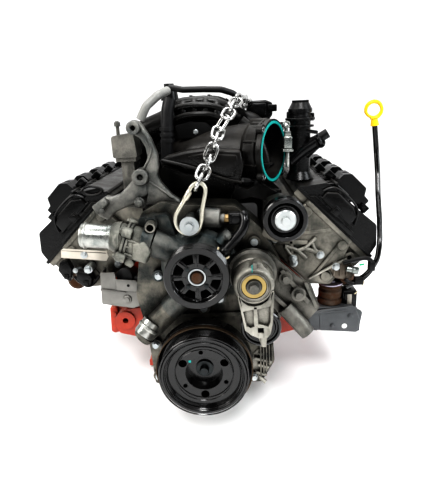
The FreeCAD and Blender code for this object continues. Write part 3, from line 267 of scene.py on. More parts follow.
def plasticFinish(name, tone, dust, roughness=0.42, grain=1.0, edge=0.0010, dusty=0.5):
    # Moulded glass-filled plastic: a spark-eroded grain, faint flow marks, settled dust and painted shade
    # in the corners.
    finish = Finish(name, 0.0, roughness, edge=edge)
    flow = finish.noise(14, 4, 0.6, (1, 0.35, 1))
    grainMap = finish.noise(1900, 2, 0.6)
    scuff = finish.noise(90, 6, 0.8, (1, 1, 4))
    corner = finish.hollow(0.025)
    settled = finish.upward().step(-0.1, 1.0) * finish.noise(9, 5, 0.7).step(0.3, 0.72)
    colour = finish.mix([c * 0.7 for c in tone], [c * 1.3 for c in tone], flow)
    colour = finish.mix(colour, dust, settled * dusty)
    colour = finish.mix(colour, [c * 2.4 for c in tone], scuff.step(0.66, 0.78) * 0.4)
    # Painted shade: ambient occlusion darkens the plastic in corners and creases.
    colour = finish.mix([c * 0.35 for c in tone], colour, corner.step(0.1, 0.75))
    finish.feed("Base Color", colour)
    finish.feed("Roughness", flow * 0.15 + settled * 0.3 + scuff * 0.12 + (roughness - 0.15))
    finish.bump(grainMap * 0.7 + scuff * 0.3, 0.00025 * grain, 0.6)
    finish.shader.inputs["Specular IOR Level"].default_value = 0.3
    return finish.material


def machinedFinish(name, light, dark, roughness=0.28, stain=(0.1, 0.07, 0.05), rust=0.0, edge=0.0006):
    # Turned or ground steel with tool lines, stains, painted shade in the corners and, where stated, rust.
    finish = Finish(name, 1.0, roughness, edge=edge)
    lines = finish.noise(160, 3, 0.6, (0.4, 14, 0.4))
    blotch = finish.noise(45, 5, 0.7)
    corner = finish.hollow(0.015)
    colour = finish.mix(dark, light, lines)
    colour = finish.mix(colour, stain,
        blotch.step(0.62 - 0.35 * rust, 0.85 - 0.25 * rust) * (0.4 + 0.6 * rust))
    # Painted shade: ambient occlusion darkens the steel in corners and creases.
    colour = finish.mix([c * 0.15 for c in dark], colour, corner.step(0.1, 0.7))
    finish.feed("Base Color", colour)
    finish.feed("Roughness", lines * 0.12 + blotch * 0.3 * (0.5 + rust) + (roughness - 0.08))
    finish.bump(lines * 0.4 + blotch * 0.3, 0.0002, 0.4)
    return finish.material


def rubberFinish(name, tone, roughness=0.6):
    finish = Finish(name, 0.0, roughness, edge=0.0006)
    grainMap = finish.noise(700, 3, 0.6)
    bloom = finish.noise(20, 4, 0.6)
    corner = finish.hollow(0.02)
    colour = finish.mix([c * 0.7 for c in tone], [c * 1.7 for c in tone], bloom)
    # Painted shade: ambient occlusion darkens the colour in corners and creases.
    colour = finish.mix([c * 0.3 for c in tone], colour, corner.step(0.1, 0.7))
    finish.feed("Base Color", colour)
    finish.feed("Roughness", bloom * 0.25 + (roughness - 0.1))
    finish.bump(grainMap, 0.0002, 0.5)
    finish.shader.inputs["Specular IOR Level"].default_value = 0.35
    return finish.material


print("making the finishes")
# The third colour given to castFinish is the painted shade used in corners.
finishes = {
    "aluminium": castFinish("castAluminium", (0.27, 0.255, 0.22), (0.085, 0.085, 0.075),
        (0.01, 0.0095, 0.008)),
    "coverAluminium": castFinish("coverAluminium", (0.2, 0.188, 0.16), (0.05, 0.053, 0.05),
        (0.007, 0.007, 0.0065), roughness=0.34),
    "pumpAluminium": castFinish("pumpAluminium", (0.15, 0.15, 0.138), (0.034, 0.045, 0.048),
        (0.006, 0.007, 0.007), roughness=0.34),
    "brightCasting": castFinish("brightCasting", (0.42, 0.405, 0.36), (0.18, 0.175, 0.155),
        (0.02, 0.0185, 0.015), roughness=0.36, worn=0.8),
    "greyCasting": castFinish("greyCasting", (0.25, 0.24, 0.215), (0.1, 0.1, 0.092),
        (0.015, 0.014, 0.012), roughness=0.38),
    "blockPaint": paintFinish("blockPaint", (0.4, 0.036, 0.011), (0.5, 0.3, 0.2), (0.09, 0.05, 0.04),
        0.42, chips=0.68),
    "blackPlastic": plasticFinish("blackPlastic", (0.003, 0.0031, 0.0034), (0.035, 0.032, 0.03), 0.28),
    "coverPlastic": plasticFinish("coverPlastic", (0.0035, 0.0036, 0.0038), (0.06, 0.055, 0.048), 0.28,
        dusty=0.55),
    "intakePlastic": plasticFinish("intakePlastic", (0.005, 0.0047, 0.0044), (0.055, 0.05, 0.044), 0.3,
        dusty=0.5),
    "coilPlastic": plasticFinish("coilPlastic", (0.0025, 0.0026, 0.0028), (0.03, 0.028, 0.026), 0.22,
        dusty=0.3),
    "blackPaint": paintFinish("blackPaint", (0.0018, 0.0018, 0.002), (0.012, 0.011, 0.01),
        (0.05, 0.03, 0.02), 0.2, coat=0.25, chips=0.74),
    "bracketPaint": paintFinish("bracketPaint", (0.1, 0.105, 0.11), (0.2, 0.19, 0.17), (0.25, 0.16, 0.1),
        0.45, metallic=0.5),
    "stampedGrey": paintFinish("stampedGrey", (0.24, 0.235, 0.22), (0.3, 0.29, 0.27), (0.14, 0.1, 0.07),
        0.34, metallic=0.7),
    "machined": machinedFinish("machinedSteel", (0.55, 0.54, 0.52), (0.34, 0.33, 0.32)),
    "boltSteel": machinedFinish("boltSteel", (0.6, 0.61, 0.6), (0.3, 0.34, 0.36), 0.3, (0.2, 0.17, 0.13),
        0.15),
    "chainSteel": machinedFinish("chainSteel", (0.6, 0.6, 0.58), (0.34, 0.34, 0.34), 0.16,
        (0.16, 0.14, 0.12)),
    "snapSteel": machinedFinish("snapSteel", (0.72, 0.7, 0.6), (0.45, 0.43, 0.36), 0.26,
        (0.12, 0.1, 0.08), 0.2),
    "rustedIron": machinedFinish("rustedIron", (0.16, 0.125, 0.1), (0.07, 0.05, 0.04), 0.6,
        (0.11, 0.055, 0.03), 0.8),
    "darkSteel": machinedFinish("darkSteel", (0.06, 0.065, 0.065), (0.025, 0.028, 0.03), 0.34,
        (0.03, 0.02, 0.015)),
    "rustBand": machinedFinish("rustBand", (0.15, 0.115, 0.08), (0.06, 0.045, 0.035), 0.42,
        (0.09, 0.05, 0.03), 0.5),
    "zincGold": machinedFinish("zincGold", (0.46, 0.36, 0.16), (0.3, 0.22, 0.09), 0.25,
        (0.16, 0.11, 0.06)),
    "silverCap": machinedFinish("silverCap", (0.72, 0.74, 0.73), (0.52, 0.55, 0.55), 0.3,
        (0.4, 0.4, 0.38)),
    "tealRubber": rubberFinish("tealRubber", (0.008, 0.26, 0.24), 0.4),
    "yellowPlastic": rubberFinish("yellowPlastic", (0.62, 0.4, 0.01), 0.3),
    "blackRubber": rubberFinish("blackRubber", (0.006, 0.006, 0.0065), 0.42),
    "foam": rubberFinish("valleyFoam", (0.05, 0.05, 0.05), 0.9),
    "whitePaint": rubberFinish("whitePaint", (0.42, 0.39, 0.34), 0.5),
    "deepBlack": rubberFinish("deepBlack", (0.0012, 0.0012, 0.0012), 0.9),
    "damperBlack": paintFinish("damperBlack", (0.0015, 0.0015, 0.0016), (0.008, 0.007, 0.006),
        (0.03, 0.02, 0.015), 0.18, coat=0.3, chips=0.8),
    "neckSteel": castFinish("neckSteel", (0.5, 0.5, 0.47), (0.22, 0.24, 0.23), (0.03, 0.03, 0.027),
        roughness=0.3, metallic=0.95, grain=0.35),
    "thermostatCasting": castFinish("thermostatCasting", (0.3, 0.295, 0.26), (0.1, 0.105, 0.095),
        (0.014, 0.014, 0.012), roughness=0.4, grain=1.6),
    "bracketCasting": castFinish("bracketCasting", (0.26, 0.255, 0.235), (0.1, 0.104, 0.1),
        (0.014, 0.0135, 0.012), roughness=0.4, grain=1.4),
    "brownCasting": castFinish("brownCasting", (0.24, 0.21, 0.17), (0.11, 0.09, 0.07),
        (0.03, 0.022, 0.016), roughness=0.5, metallic=0.5),
    "lilacZinc": machinedFinish("lilacZinc", (0.5, 0.47, 0.55), (0.3, 0.28, 0.34), 0.34,
        (0.2, 0.17, 0.16)),
    "glossRubber": rubberFinish("glossRubber", (0.004, 0.004, 0.0045), 0.22),
    "greyHose": rubberFinish("greyHose", (0.2, 0.2, 0.19), 0.34),
    "creamPlastic": rubberFinish("creamPlastic", (0.6, 0.52, 0.36), 0.4),
    "paleBacking": rubberFinish("paleBacking", (0.62, 0.62, 0.6), 0.9),
    "greenMark": rubberFinish("greenMark", (0.02, 0.35, 0.16), 0.5),
    "brass": machinedFinish("brass", (0.34, 0.25, 0.13), (0.2, 0.14, 0.07), 0.34, (0.1, 0.06, 0.03)),
}

wears = {
    "aluminium": ["cylinder_head_driver", "cylinder_head_passenger", "oil_pan", "rear_seal_cover",
        "pistons"],
    "coverAluminium": ["timing_cover", "lower_inlet_pipe"],
    "pumpAluminium": ["water_pump_housing"],
    "brightCasting": ["thermostat_housing", "tensioner_arm", "heater_pipe"],
    "greyCasting": ["tensioner_base", "accessory_bracket", "egr_valve"],
    "blockPaint": ["cylinder_block"],
    "coverPlastic": ["valve_cover_driver", "valve_cover_passenger"],
    "blackPlastic": ["oil_filler_cap", "vacuum_port", "mount_clip", "coolant_sensor", "oil_filler_tube"],
    "intakePlastic": ["intake_manifold"],
    "coilPlastic": ["ignition_coils_driver", "ignition_coils_passenger"],
    "blackPaint": ["harmonic_damper", "water_pump_pulley", "idler_pulley", "tensioner_pulley",
        "dipstick_tube"],
    "bracketPaint": ["mount_bracket_driver"],
    "stampedGrey": ["mount_bracket_passenger"],
    "machined": ["crankshaft", "crank_sprocket", "camshaft", "cam_sprocket", "timing_chain", "flexplate",
        "spark_plugs", "oil_pickup", "fuel_rails", "head_gaskets"],
    "boltSteel": ["cover_bolts", "lifting_bolts"],
    "darkSteel": ["damper_bolt"],
    "silverCap": ["idler_bolt"],
    "chainSteel": ["lifting_chain"],
    "snapSteel": ["snap_link"],
    "rustedIron": ["main_bearing_caps", "exhaust_manifold_driver", "exhaust_manifold_passenger",
        "water_pump_shaft", "engine_mount_driver"],
    "zincGold": ["tensioner_ring"],
    "tealRubber": ["throttle_gasket"],
    "yellowPlastic": ["dipstick"],
    "blackRubber": ["top_hose", "breather_hose"],
    "greyHose": ["crossover_elbow"],
    "foam": ["valley_pad"],
}


class Piece:
    # A mesh in the making, in millimetres. Each call adds its shells, placed by self.turn.
    def __init__(self, name, turn=None):
        self.name, self.mesh, self.turn = name, bmesh.new(), turn or Matrix.Identity(4)

    def add(self, shell, place=None, soft=0.0, segments=2, limit=0.5):
        if soft:
            edges = [e for e in shell.edges if len(e.link_faces) == 2 and e.calc_face_angle() > limit]
            bmesh.ops.bevel(shell, geom=edges, offset=soft, affect="EDGES", segments=segments,
                profile=0.5, material=-1, clamp_overlap=True)
        bmesh.ops.transform(shell, matrix=self.turn @ (place or Matrix.Identity(4)), verts=shell.verts)
        bmesh.ops.recalc_face_normals(shell, faces=shell.faces)
        carrier = bpy.data.meshes.new("carrier")
        shell.to_mesh(carrier)
        shell.free()
        self.mesh.from_mesh(carrier)
        bpy.data.meshes.remove(carrier)
        return self

    def rod(self, start, end, radius, tip=None, sides=28, soft=0.0, segments=2):
        start, end = Vector(start), Vector(end)
        shell = bmesh.new()
        bmesh.ops.create_cone(shell, cap_ends=True, segments=sides, radius1=radius,
            radius2=radius if tip is None else tip, depth=(end - start).length)
        return self.add(shell, aim((start + end) / 2, end - start), soft, segments)

    def ball(self, centre, radius, squash=(1, 1, 1)):
        shell = bmesh.new()
        bmesh.ops.create_uvsphere(shell, u_segments=24, v_segments=14, radius=radius)
        return self.add(shell, Matrix.Translation(centre) @ Matrix.Diagonal((*squash, 1)))

    def block(self, low, high, soft=0.0, segments=2, turn=None):
        low, high = Vector(low), Vector(high)
        shell = bmesh.new()
        bmesh.ops.create_cube(shell, size=1)
        bmesh.ops.scale(shell, vec=high - low, verts=shell.verts)
        return self.add(shell, Matrix.Translation((low + high) / 2) @ (turn or Matrix.Identity(4)), soft,
            segments)

    def plate(self, outline, front, back, soft=0.0, segments=2, place=None):
        # An outline in x and z, from front to back in y.
        shell = bmesh.new()
        face = shell.faces.new([shell.verts.new((x, front, z)) for x, z in outline])
        made = bmesh.ops.extrude_face_region(shell, geom=[face])["geom"]
        bmesh.ops.translate(shell, vec=(0, back - front, 0),
            verts=[v for v in made if isinstance(v, bmesh.types.BMVert)])
        return self.add(shell, place, soft, segments)

    def turned(self, profile, origin, direction=(0, -1, 0), steps=56):
        # Radius and height pairs, spun round the direction from the origin.
        shell = bmesh.new()
        verts = [shell.verts.new((r, 0, h)) for r, h in profile]
        edges = [shell.edges.new(pair) for pair in zip(verts, verts[1:])]
        bmesh.ops.spin(shell, geom=verts + edges, cent=(0, 0, 0), axis=(0, 0, 1), angle=2 * math.pi,
            steps=steps, use_merge=True)
        bmesh.ops.remove_doubles(shell, verts=shell.verts, dist=0.001)
        return self.add(shell, aim(Vector(origin), Vector(direction)))

    def ring(self, origin, outer, inner, thick, direction=(0, -1, 0), soft=0.6, steps=56):
        s = min(soft, thick / 3, (outer - inner) / 3)
        return self.turned([(inner + s, 0), (outer - s, 0), (outer, s), (outer, thick - s),
            (outer - s, thick), (inner + s, thick), (inner, thick - s), (inner, s), (inner + s, 0)],
            origin, direction, steps)

    def tube(self, points, radius, closed=False, order=3, fine=3):
        curve = bpy.data.curves.new("line", "CURVE")
        curve.dimensions, curve.bevel_depth, curve.bevel_resolution = "3D", radius, fine
        curve.use_fill_caps = True
        spline = curve.splines.new("NURBS")
        spline.points.add(len(points) - 1)
        for place, point in zip(points, spline.points):
            point.co = (*place, 1)
        spline.use_cyclic_u, spline.use_endpoint_u = closed, not closed
        spline.order_u, spline.resolution_u = order, 6
        holder = bpy.data.objects.new("line", curve)
        made = bpy.data.meshes.new_from_object(holder)
        shell = bmesh.new()
        shell.from_mesh(made)
        bmesh.ops.remove_doubles(shell, verts=shell.verts, dist=0.001)
        bpy.data.objects.remove(holder)
        bpy.data.curves.remove(curve)
        bpy.data.meshes.remove(made)
        return self.add(shell)

    def bolt(self, place, direction=(0, -1, 0), across=12, height=7, washer=1.3):
        place, direction = Vector(place), Vector(direction).normalized()
        self.rod(place, place + direction * 1.8, across * washer * 0.55, sides=24, soft=0.5)
        self.rod(place + direction * 1.5, place + direction * height, across * 0.577, sides=6, soft=0.6)
        return self.rod(place + direction * (height - 0.8), place + direction * (height + 0.25),
            across * 0.36, across * 0.3, sides=20)

    def done(self, finish, body="engine", replaced=(), angle=34):
        bmesh.ops.scale(self.mesh, vec=(milli, milli, milli), verts=self.mesh.verts)
        data = bpy.data.meshes.new(self.name)
        self.mesh.to_mesh(data)
        self.mesh.free()
        data.shade_smooth()
        data.set_sharp_from_angle(angle=math.radians(angle))
        data.materials.append(finishes[finish])
        piece = bpy.data.objects.new(self.name, data)
        bpy.context.scene.collection.objects.link(piece)
        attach(piece, body)
        if replaced:
            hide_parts(*replaced)
        return piece


def aim(origin, direction):
    # The frame at origin whose z runs along direction.
    return Matrix.Translation(origin) @ Vector(direction).to_track_quat("Z", "Y").to_matrix().to_4x4()


def bank(side):
    # t outwards from the valley, y along the crank, s along the bores, for one bank.
    half = math.sqrt(0.5)
    return Matrix(((side * half, 0, side * half, 0), (0, 1, 0, 0 if side > 0 else bankOffset),
        (-half, 0, half, 0), (0, 0, 0, 1)))


banks = {"Driver": bank(1), "Passenger": bank(-1)}

armMaker = {
    "pivot": (98, 185), "wheel": (110, 98), "front": -706.0, "floor": -699.5, "back": -693.6,
    "outline": [(68.7, 167.2), (72.6, 145.8), (80.3, 99.9), (90.9, 91.5), (103.4, 85.1), (108.6, 68.5),
        (117.7, 67.0), (119.7, 84.6), (126.2, 92.6), (130.7, 118.5), (132.9, 176.7), (131.3, 195.5),
        (122.9, 216.2), (100.7, 222.5), (86.8, 215.5), (72.3, 193.7)],
    "rails": [[(68.7, 168), (72.6, 145.8), (80.3, 99.9), (84.6, 104), (78.4, 137), (74.5, 168)],
        [(132.9, 176.7), (130.7, 118.5), (126.2, 92.6), (121, 106), (125.6, 117), (126.2, 148),
        (126.8, 176)], [(96.1, 148), (102.8, 148), (104.4, 122), (104.6, 108), (97.4, 108), (95.8, 118)],
        [(68.6, 170), (77, 138.2), (96, 142), (103, 142), (126, 147.4), (132.8, 176), (129, 176),
        (121, 158), (110, 150.6), (98, 148), (86, 150.4), (77, 158), (72, 171)]],
    "foot": [[(80.6, 101), (84.2, 110), (89.6, 105.6), (103.5, 111.5), (103.5, 85.2), (90.9, 91.6)],
        [(103.4, 113.6), (107.4, 113), (121.6, 108.4), (126.4, 93.4), (119.9, 84.8), (113.6, 84.8),
        (113.6, 105.6), (103.4, 105.6)], [(103.2, 96.3), (113.8, 96.3), (113.8, 84.4), (103.2, 85)]]
}


def makeTensionerArm():
    px, pz = armMaker["pivot"]
    wx, wz = armMaker["wheel"]
    arm = Piece("tensionerArmCasting")
    arm.plate(armMaker["outline"], armMaker["floor"], armMaker["back"], 1.2)
    for outline in armMaker["rails"] + armMaker["foot"]:
        arm.plate(outline, armMaker["front"] + 0.6, armMaker["floor"] + 1, 1.1)
    arm.plate([(108.6, 86), (108.8, 67.5), (117.6, 66.2), (119.5, 86)], armMaker["front"] + 0.4, -697, 1.6)
    arm.turned([(10.3, 0), (36.8, 0), (37.2, 16), (36.4, 26), (33.5, 33.5), (31.2, 35.4), (29.4, 35.4),
        (28.2, 33.6), (25.6, 33.4), (24.6, 35.8), (22.6, 35.6), (22.2, 32.9), (10.3, 32.9), (10.3, 0)],
        (px, -668.8, pz))
    arm.plate([(84, 214), (92, 222), (100.7, 227.6), (112, 227.4), (117, 219), (121, 205), (86, 205)],
        -700, -672, 2.2)
    arm.plate([(94, 216), (97, 228), (104, 228), (104, 214)], -703.4, -690, 1.2)
    arm.rod((wx, -694, wz), (wx, -668.4, wz), 12, soft=0.8)
    for turn in (200, 245, 300, 340, 20, 70):
        a = math.radians(turn)
        arm.rod((px + 33 * math.cos(a), -701.6, pz + 33 * math.sin(a)),
            (px + 36 * math.cos(a), -690, pz + 36 * math.sin(a)), 2.2, 1.6, 12, 0.5)
    arm.done("brightCasting", "tensioner", ["tensioner_arm"])
    # Painted shade: a thin near-black plate in the square recess of the arm stands in for the shade there.
    hole = Piece("tensionerArmSquare")
    hole.block((103.6, -699.9, 96.2), (113.4, -699.3, 105.5))
    hole.done("deepBlack", "tensioner")
    dabs = Piece("tensionerArmMark")
    dabs.block((94.6, -704.4, 212), (96.2, -703.2, 226), 0.4)
    dabs.done("tealRubber", "tensioner")


damperMaker = {"rims": [(84.5, -697.4, 1.5), (79.0, -696.6, 1.1), (75.6, -695.6, 0.9),
    (72.2, -694.8, 0.9), (55.5, -691.2, 0.8)], "band": (94.0, -667.0, 9.0), "dab": (-26, 27)}


def makeDamperDetail():
    rims = Piece("damperRims")
    for radius, y, wide in damperMaker["rims"]:
        rims.ring((0, y + 2.4, 0), radius + wide, radius - wide, 2.4, soft=0.8, steps=96)
    rims.done("damperBlack", "crank")
    band = Piece("damperRustBand")
    radius, y, wide = damperMaker["band"]
    band.ring((0, y, 0), radius + 0.15, radius - 2, wide, soft=0.3, steps=96)
    band.done("rustBand", "crank")
    dab = Piece("damperPaintDab")
    x, z = damperMaker["dab"]
    dab.block((x - 2.4, -684.6, z - 2.4), (x + 2.4, -683.8, z + 2.4), 0.3)
    dab.done("tealRubber", "crank")


snapMaker = {
    "wire": 4.0, "y": -648.0,
    "line": [(7.0, 361.5), (-4.8, 357.0), (-15.3, 336.9), (-31.3, 313.5), (-38.6, 300.7), (-37.8, 284.2),
        (-27.6, 271.3), (-12.5, 265.5), (0.9, 271.2), (8.5, 289.3), (10.8, 310.5), (16.3, 334.2),
        (20.0, 348.3), (15.7, 358.2)],
    "gate": ((-9.0, 347.0), (-18.0, 332.0))
}


def makeSnapLink():
    y = snapMaker["y"]
    link = Piece("snapLinkLoop")
    link.tube([(x, y, z) for x, z in snapMaker["line"]], snapMaker["wire"], closed=True, fine=4)
    (ax, az), (bx, bz) = snapMaker["gate"]
    link.rod((ax, y, az), (bx, y, bz), 5.6, soft=0.8)
    link.rod((ax - 1, y - 6, az - 1.6), (ax - 1, y + 6, az - 1.6), 1.6, sides=12, soft=0.3)
    link.done("snapSteel", replaced=["snap_link"])


chainMaker = {
    "wire": 3.2, "bend": 9.8, "pitch": 23.6,
    "line": [(8, -647, 362), (21.4, -612, 388), (27, -600, 402), (37.5, -592, 424), (44, -560, 446),
        (61, -556, 470), (70, -530, 484), (79, -506, 495), (86, -480, 499), (93, -440, 496),
        (102, -370, 494), (106, -300, 498), (106, -200, 498), (104, -130, 497), (101, -92, 488),
        (102, -66, 466), (108, -52, 432), (126, -44, 390), (150, -36, 352), (172, -29, 320),
        (190, -25, 294)]
}


def makeChain():
    # Links stand at even steps along the line, each a quarter turn from the last.
    corners = [Vector(p) for p in chainMaker["line"]]
    spots, carried = [], 0.0
    for start, end in zip(corners, corners[1:]):
        run = end - start
        while carried < run.length:
            spots.append((start + run.normalized() * carried, run.normalized()))
            carried += chainMaker["pitch"]
        carried -= run.length
    chain = Piece("liftingChainLinks")
    half = chainMaker["pitch"] / 2 + chainMaker["wire"]
    side = Vector((0.85, 0.5, 0.1))
    for i, (spot, along) in enumerate(spots):
        across = (side - along * side.dot(along)).normalized()
        if i % 2 == 0:
            across = along.cross(across)
        loop = []
        for way, out in ((1.12, -0.5), (1.12, 0.5), (0.8, 1.02), (0.3, 1.08), (-0.3, 1.08), (-0.8, 1.02),
                (-1.12, 0.5), (-1.12, -0.5), (-0.8, -1.02), (-0.3, -1.08), (0.3, -1.08), (0.8, -1.02)):
            loop.append(spot + along * (way * half) + across * (out * chainMaker["bend"]))
        chain.tube(loop, chainMaker["wire"], closed=True, fine=3)
    chain.done("chainSteel", replaced=["lifting_chain"])


elbowMaker = {"mouth": (-219, -628, 267.46), "root": (-158, -628, 261.81), "bore": 19.0, "neck": 22.5}


def makeThermostat():
    mouth, root = Vector(elbowMaker["mouth"]), Vector(elbowMaker["root"])
    along = (root - mouth).normalized()
    bore, neck = elbowMaker["bore"], elbowMaker["neck"]
    pipe = Piece("thermostatNeck")
    pipe.turned([(bore, 0.6), (bore + 1.2, 0), (neck - 0.4, 0), (neck + 0.3, 2), (neck + 0.3, 4),
        (neck + 2.6, 6.2), (neck + 2.8, 8.4), (neck + 0.4, 11), (neck, 13), (neck, 50),
        (neck + 1.6, 51.5), (neck + 1.8, 57), (neck + 3, 61), (bore, 61), (bore, 0.6)], mouth, along)
    pipe.done("neckSteel", replaced=["thermostat_housing"])
    body = Piece("thermostatElbow")
    body.turned([(bore, 0), (25, 0), (28, 5), (29.5, 12), (30, 18), (bore, 18), (bore, 0)],
        root - along * 3, along)
    tilt = Vector((0.93, 0, -0.36)).normalized()
    seat = root + Vector((12, 0, -3))
    body.ball(seat, 29.5, (1, 1.02, 1))
    for shift, radius, thick in ((7, 35, 5), (13.2, 34, 5.4)):
        body.turned([(0, 0), (radius - 1, 0), (radius, 1), (radius, thick - 1), (radius - 1, thick),
            (0, thick)], seat + tilt * shift, tilt)
    body.turned([(0, 0), (31, 0), (33, 8), (33, 22), (29, 36), (26, 44), (0, 46)], seat + tilt * 17, tilt)
    for y, z in ((-29, 25), (-29, -24), (24, 28)):
        spot = seat + tilt * 5 + Vector((z * 0.36, y, z * 0.93))
        body.rod(spot - tilt * 1, spot + tilt * 17, 9.5, soft=1.4)
        body.bolt(spot - tilt * 0.5, -tilt, 10, 6)
    for z in (-14, 0, 13):
        spot = seat + tilt * 18 + Vector((0.36 * z, -31, 0.93 * z))
        body.rod(spot, spot + tilt * 24, 2.6, 1.8, 12, 0.8)
    body.plate([(-121, 228), (-96, 218), (-84, 240), (-95, 262), (-118, 258)], -664, -634, 4, 3)
    body.plate([(-140, 214), (-128, 206), (-120, 214), (-130, 236)], -650, -606, 2.5)
    body.done("thermostatCasting")
    seal = Piece("thermostatSeal")
    seal.turned([(0, 0), (34.2, 0), (34.2, 1.4), (0, 1.4)], seat + tilt * 12, tilt)
    seal.done("blackRubber")


eyeMaker = {
    "front": -588.0, "back": -560.0,
    "arm": [(-122, 449), (-124, 460), (-117, 470), (-107.9, 470), (-97.4, 460.5), (-83, 436),
        (-73.5, 408), (-72, 384), (-76, 366), (-70, 352), (-52, 329), (-36, 317), (-36, 308), (-104, 308),
        (-100, 330), (-122, 357), (-122, 372), (-99, 386), (-92, 402), (-95, 420), (-103, 436)],
    "branch": [(-98, 366), (-114, 374), (-124, 360), (-137, 347), (-153, 333), (-170, 328), (-181, 330),
        (-206, 314), (-200, 293), (-180, 281), (-166, 297), (-150, 304), (-125, 313), (-96, 330)],
    "web": [(-150, 306), (-96, 300), (-40, 300), (-38, 314), (-60, 336), (-86, 356), (-112, 352)]
}


def makeAccessoryBracket():
    bracket = Piece("accessoryBracketArm")
    front, back = eyeMaker["front"], eyeMaker["back"]
    bracket.plate(eyeMaker["arm"], front + 8, back, 5.5, 4)
    bracket.plate(eyeMaker["branch"], front + 5, back - 2, 5, 4)
    bracket.plate(eyeMaker["web"], front + 14, back + 2, 3, 3)
    bracket.plate([(-206, 314), (-181, 330), (-172, 318), (-196, 297)], front - 8, front + 14, 3.4, 3)
    bracket.ring((-112, back + 6, 456), 12.6, 4.4, 38, soft=1.8)
    bracket.ring((-108, back + 6, 365), 16.0, 5.4, 36, soft=2.0)
    for line in ([(-104, 376), (-84, 404), (-82, 430), (-98, 452)], [(-92, 356), (-70, 340), (-50, 322)],
            [(-122, 352), (-150, 324), (-176, 316)]):
        bracket.tube([(x, front + 7.5, z) for x, z in line], 2.2, fine=2)
    bracket.bolt((-113, -590, 318), across=14, height=9)
    bracket.bolt((-186, -596, 305), across=8, height=2, washer=1.1)
    bracket.done("bracketCasting", replaced=["accessory_bracket"])
    # Painted shade: near-black discs inside the two eyes stand in for the shade in the bores.
    holes = Piece("accessoryBracketHoles")
    for x, z, r in ((-112, 456, 4.6), (-108, 365, 5.6)):
        holes.rod((x, front + 6.6, z), (x, front + 9, z), r, sides=24)
    holes.done("deepBlack")


stampMaker = {
    "front": -560.0, "sheet": 3.2,
    "face": [(-217.5, 164.2), (-187.5, 164.2), (-185.5, 148), (-186, 126), (-146, 122), (-141.5, 127),
        (-132, 124), (-133, 97), (-141, 88), (-156, 82.3), (-222, 93.5), (-219, 124)],
    "tab": [(-186, 150.5), (-143, 146.6), (-138, 142), (-137, 126), (-145, 121.4), (-186, 125.5)]
}


def makeStampedBracket():
    front, sheet = stampMaker["front"], stampMaker["sheet"]
    bracket = Piece("stampedBracketFace")
    bracket.plate(stampMaker["face"], front, front + sheet, 1.2, 3)
    bracket.plate(stampMaker["tab"], front - 5, front - 5 + sheet, 1.2, 3)
    bracket.plate([(-223, 94), (-219, 94), (-214.5, 164), (-218.5, 164)], front + 0.5, front + 36, 1.2, 2)
    bracket.tube([(-221, front - 1.2, 127), (-204, front - 2.6, 125), (-187, front - 2.8, 122),
        (-168, front - 1.2, 118)], 2.2, fine=2)
    bracket.plate([(-222, 92), (-156, 80.6), (-139, 86), (-141, 89), (-157, 84), (-222, 95)], front + 1,
        front + 34, 0.8)
    bracket.rod((-166, front - 1, 103), (-166, front - 4.2, 103), 10, 8.6, soft=1.2)
    bracket.rod((-166, front - 4, 103), (-166, front - 6.6, 103), 6.2, 5.4, 18, 0.8)
    bracket.done("stampedGrey", replaced=["mount_bracket_passenger"])
    # Painted shade: a thin near-black disc on the tab stands in for the shade of a hole.
    hole = Piece("stampedBracketHole")
    hole.rod((-160, front - 5.4, 136), (-160, front - 4.6, 136), 3.0, sides=20)
    hole.done("deepBlack")
    rod = Piece("stampedBracketBush")
    rod.rod((-146, -556, 128), (-140, -536, 128), 24, soft=3)
    rod.rod((-170, -552, 150), (-160, -520, 146), 20, soft=3)
    rod.done("blackRubber")


def makeStrap():
    strap = Piece("earthStrap")
    strap.plate([(-294.8, 216.6), (-199.6, 207.9), (-196, 199), (-202.9, 189.1), (-225, 191.5),
        (-297.5, 199.0)], -556, -553, 0.9, 3)
    strap.plate([(-296, 214), (-294, 216.6), (-199.6, 207.9), (-200, 204.5)], -556, -546, 0.8)
    strap.done("whitePaint")
    bolts = Piece("earthStrapBolts")
    bolts.bolt((-247.5, -556.2, 204), across=9, height=4.4, washer=1.5)
    bolts.bolt((-247, -545, 168), across=13, height=8)
    bolts.bolt((-275, -545, 166), across=8, height=5)
    bolts.rod((-247, -546, 168), (-247, -520, 168), 9, soft=1)
    bolts.done("boltSteel")
    clips = Piece("earthStrapClips")
    clips.plate([(-306, 186), (-290, 190), (-282, 170), (-288, 142), (-301, 148), (-312, 168)], -548,
        -530, 2)
    clips.plate([(-274, 164), (-248, 158), (-242, 146), (-246, 132), (-262, 130), (-276, 146)], -546,
        -528, 2)
    clips.block((-300, -552, 150), (-290, -548, 158), 0.8)
    clips.block((-262, -550, 132), (-250, -546, 142), 0.8)
    clips.tube([(-282, -540, 150), (-262, -541, 126), (-243, -536, 128), (-236, -520, 140)], 3.4)
    clips.done("blackPlastic")


sensorMaker = {
    "boss": ((8, -616, 291), (42, -620, 289)), "shank": ((40, -620, 289), (50, -621, 288)),
    "elbow": [(83, -624, 296), (88, -630, 292), (84, -638, 272), (66, -646, 252), (47, -652, 233),
        (42, -653, 228)]
}


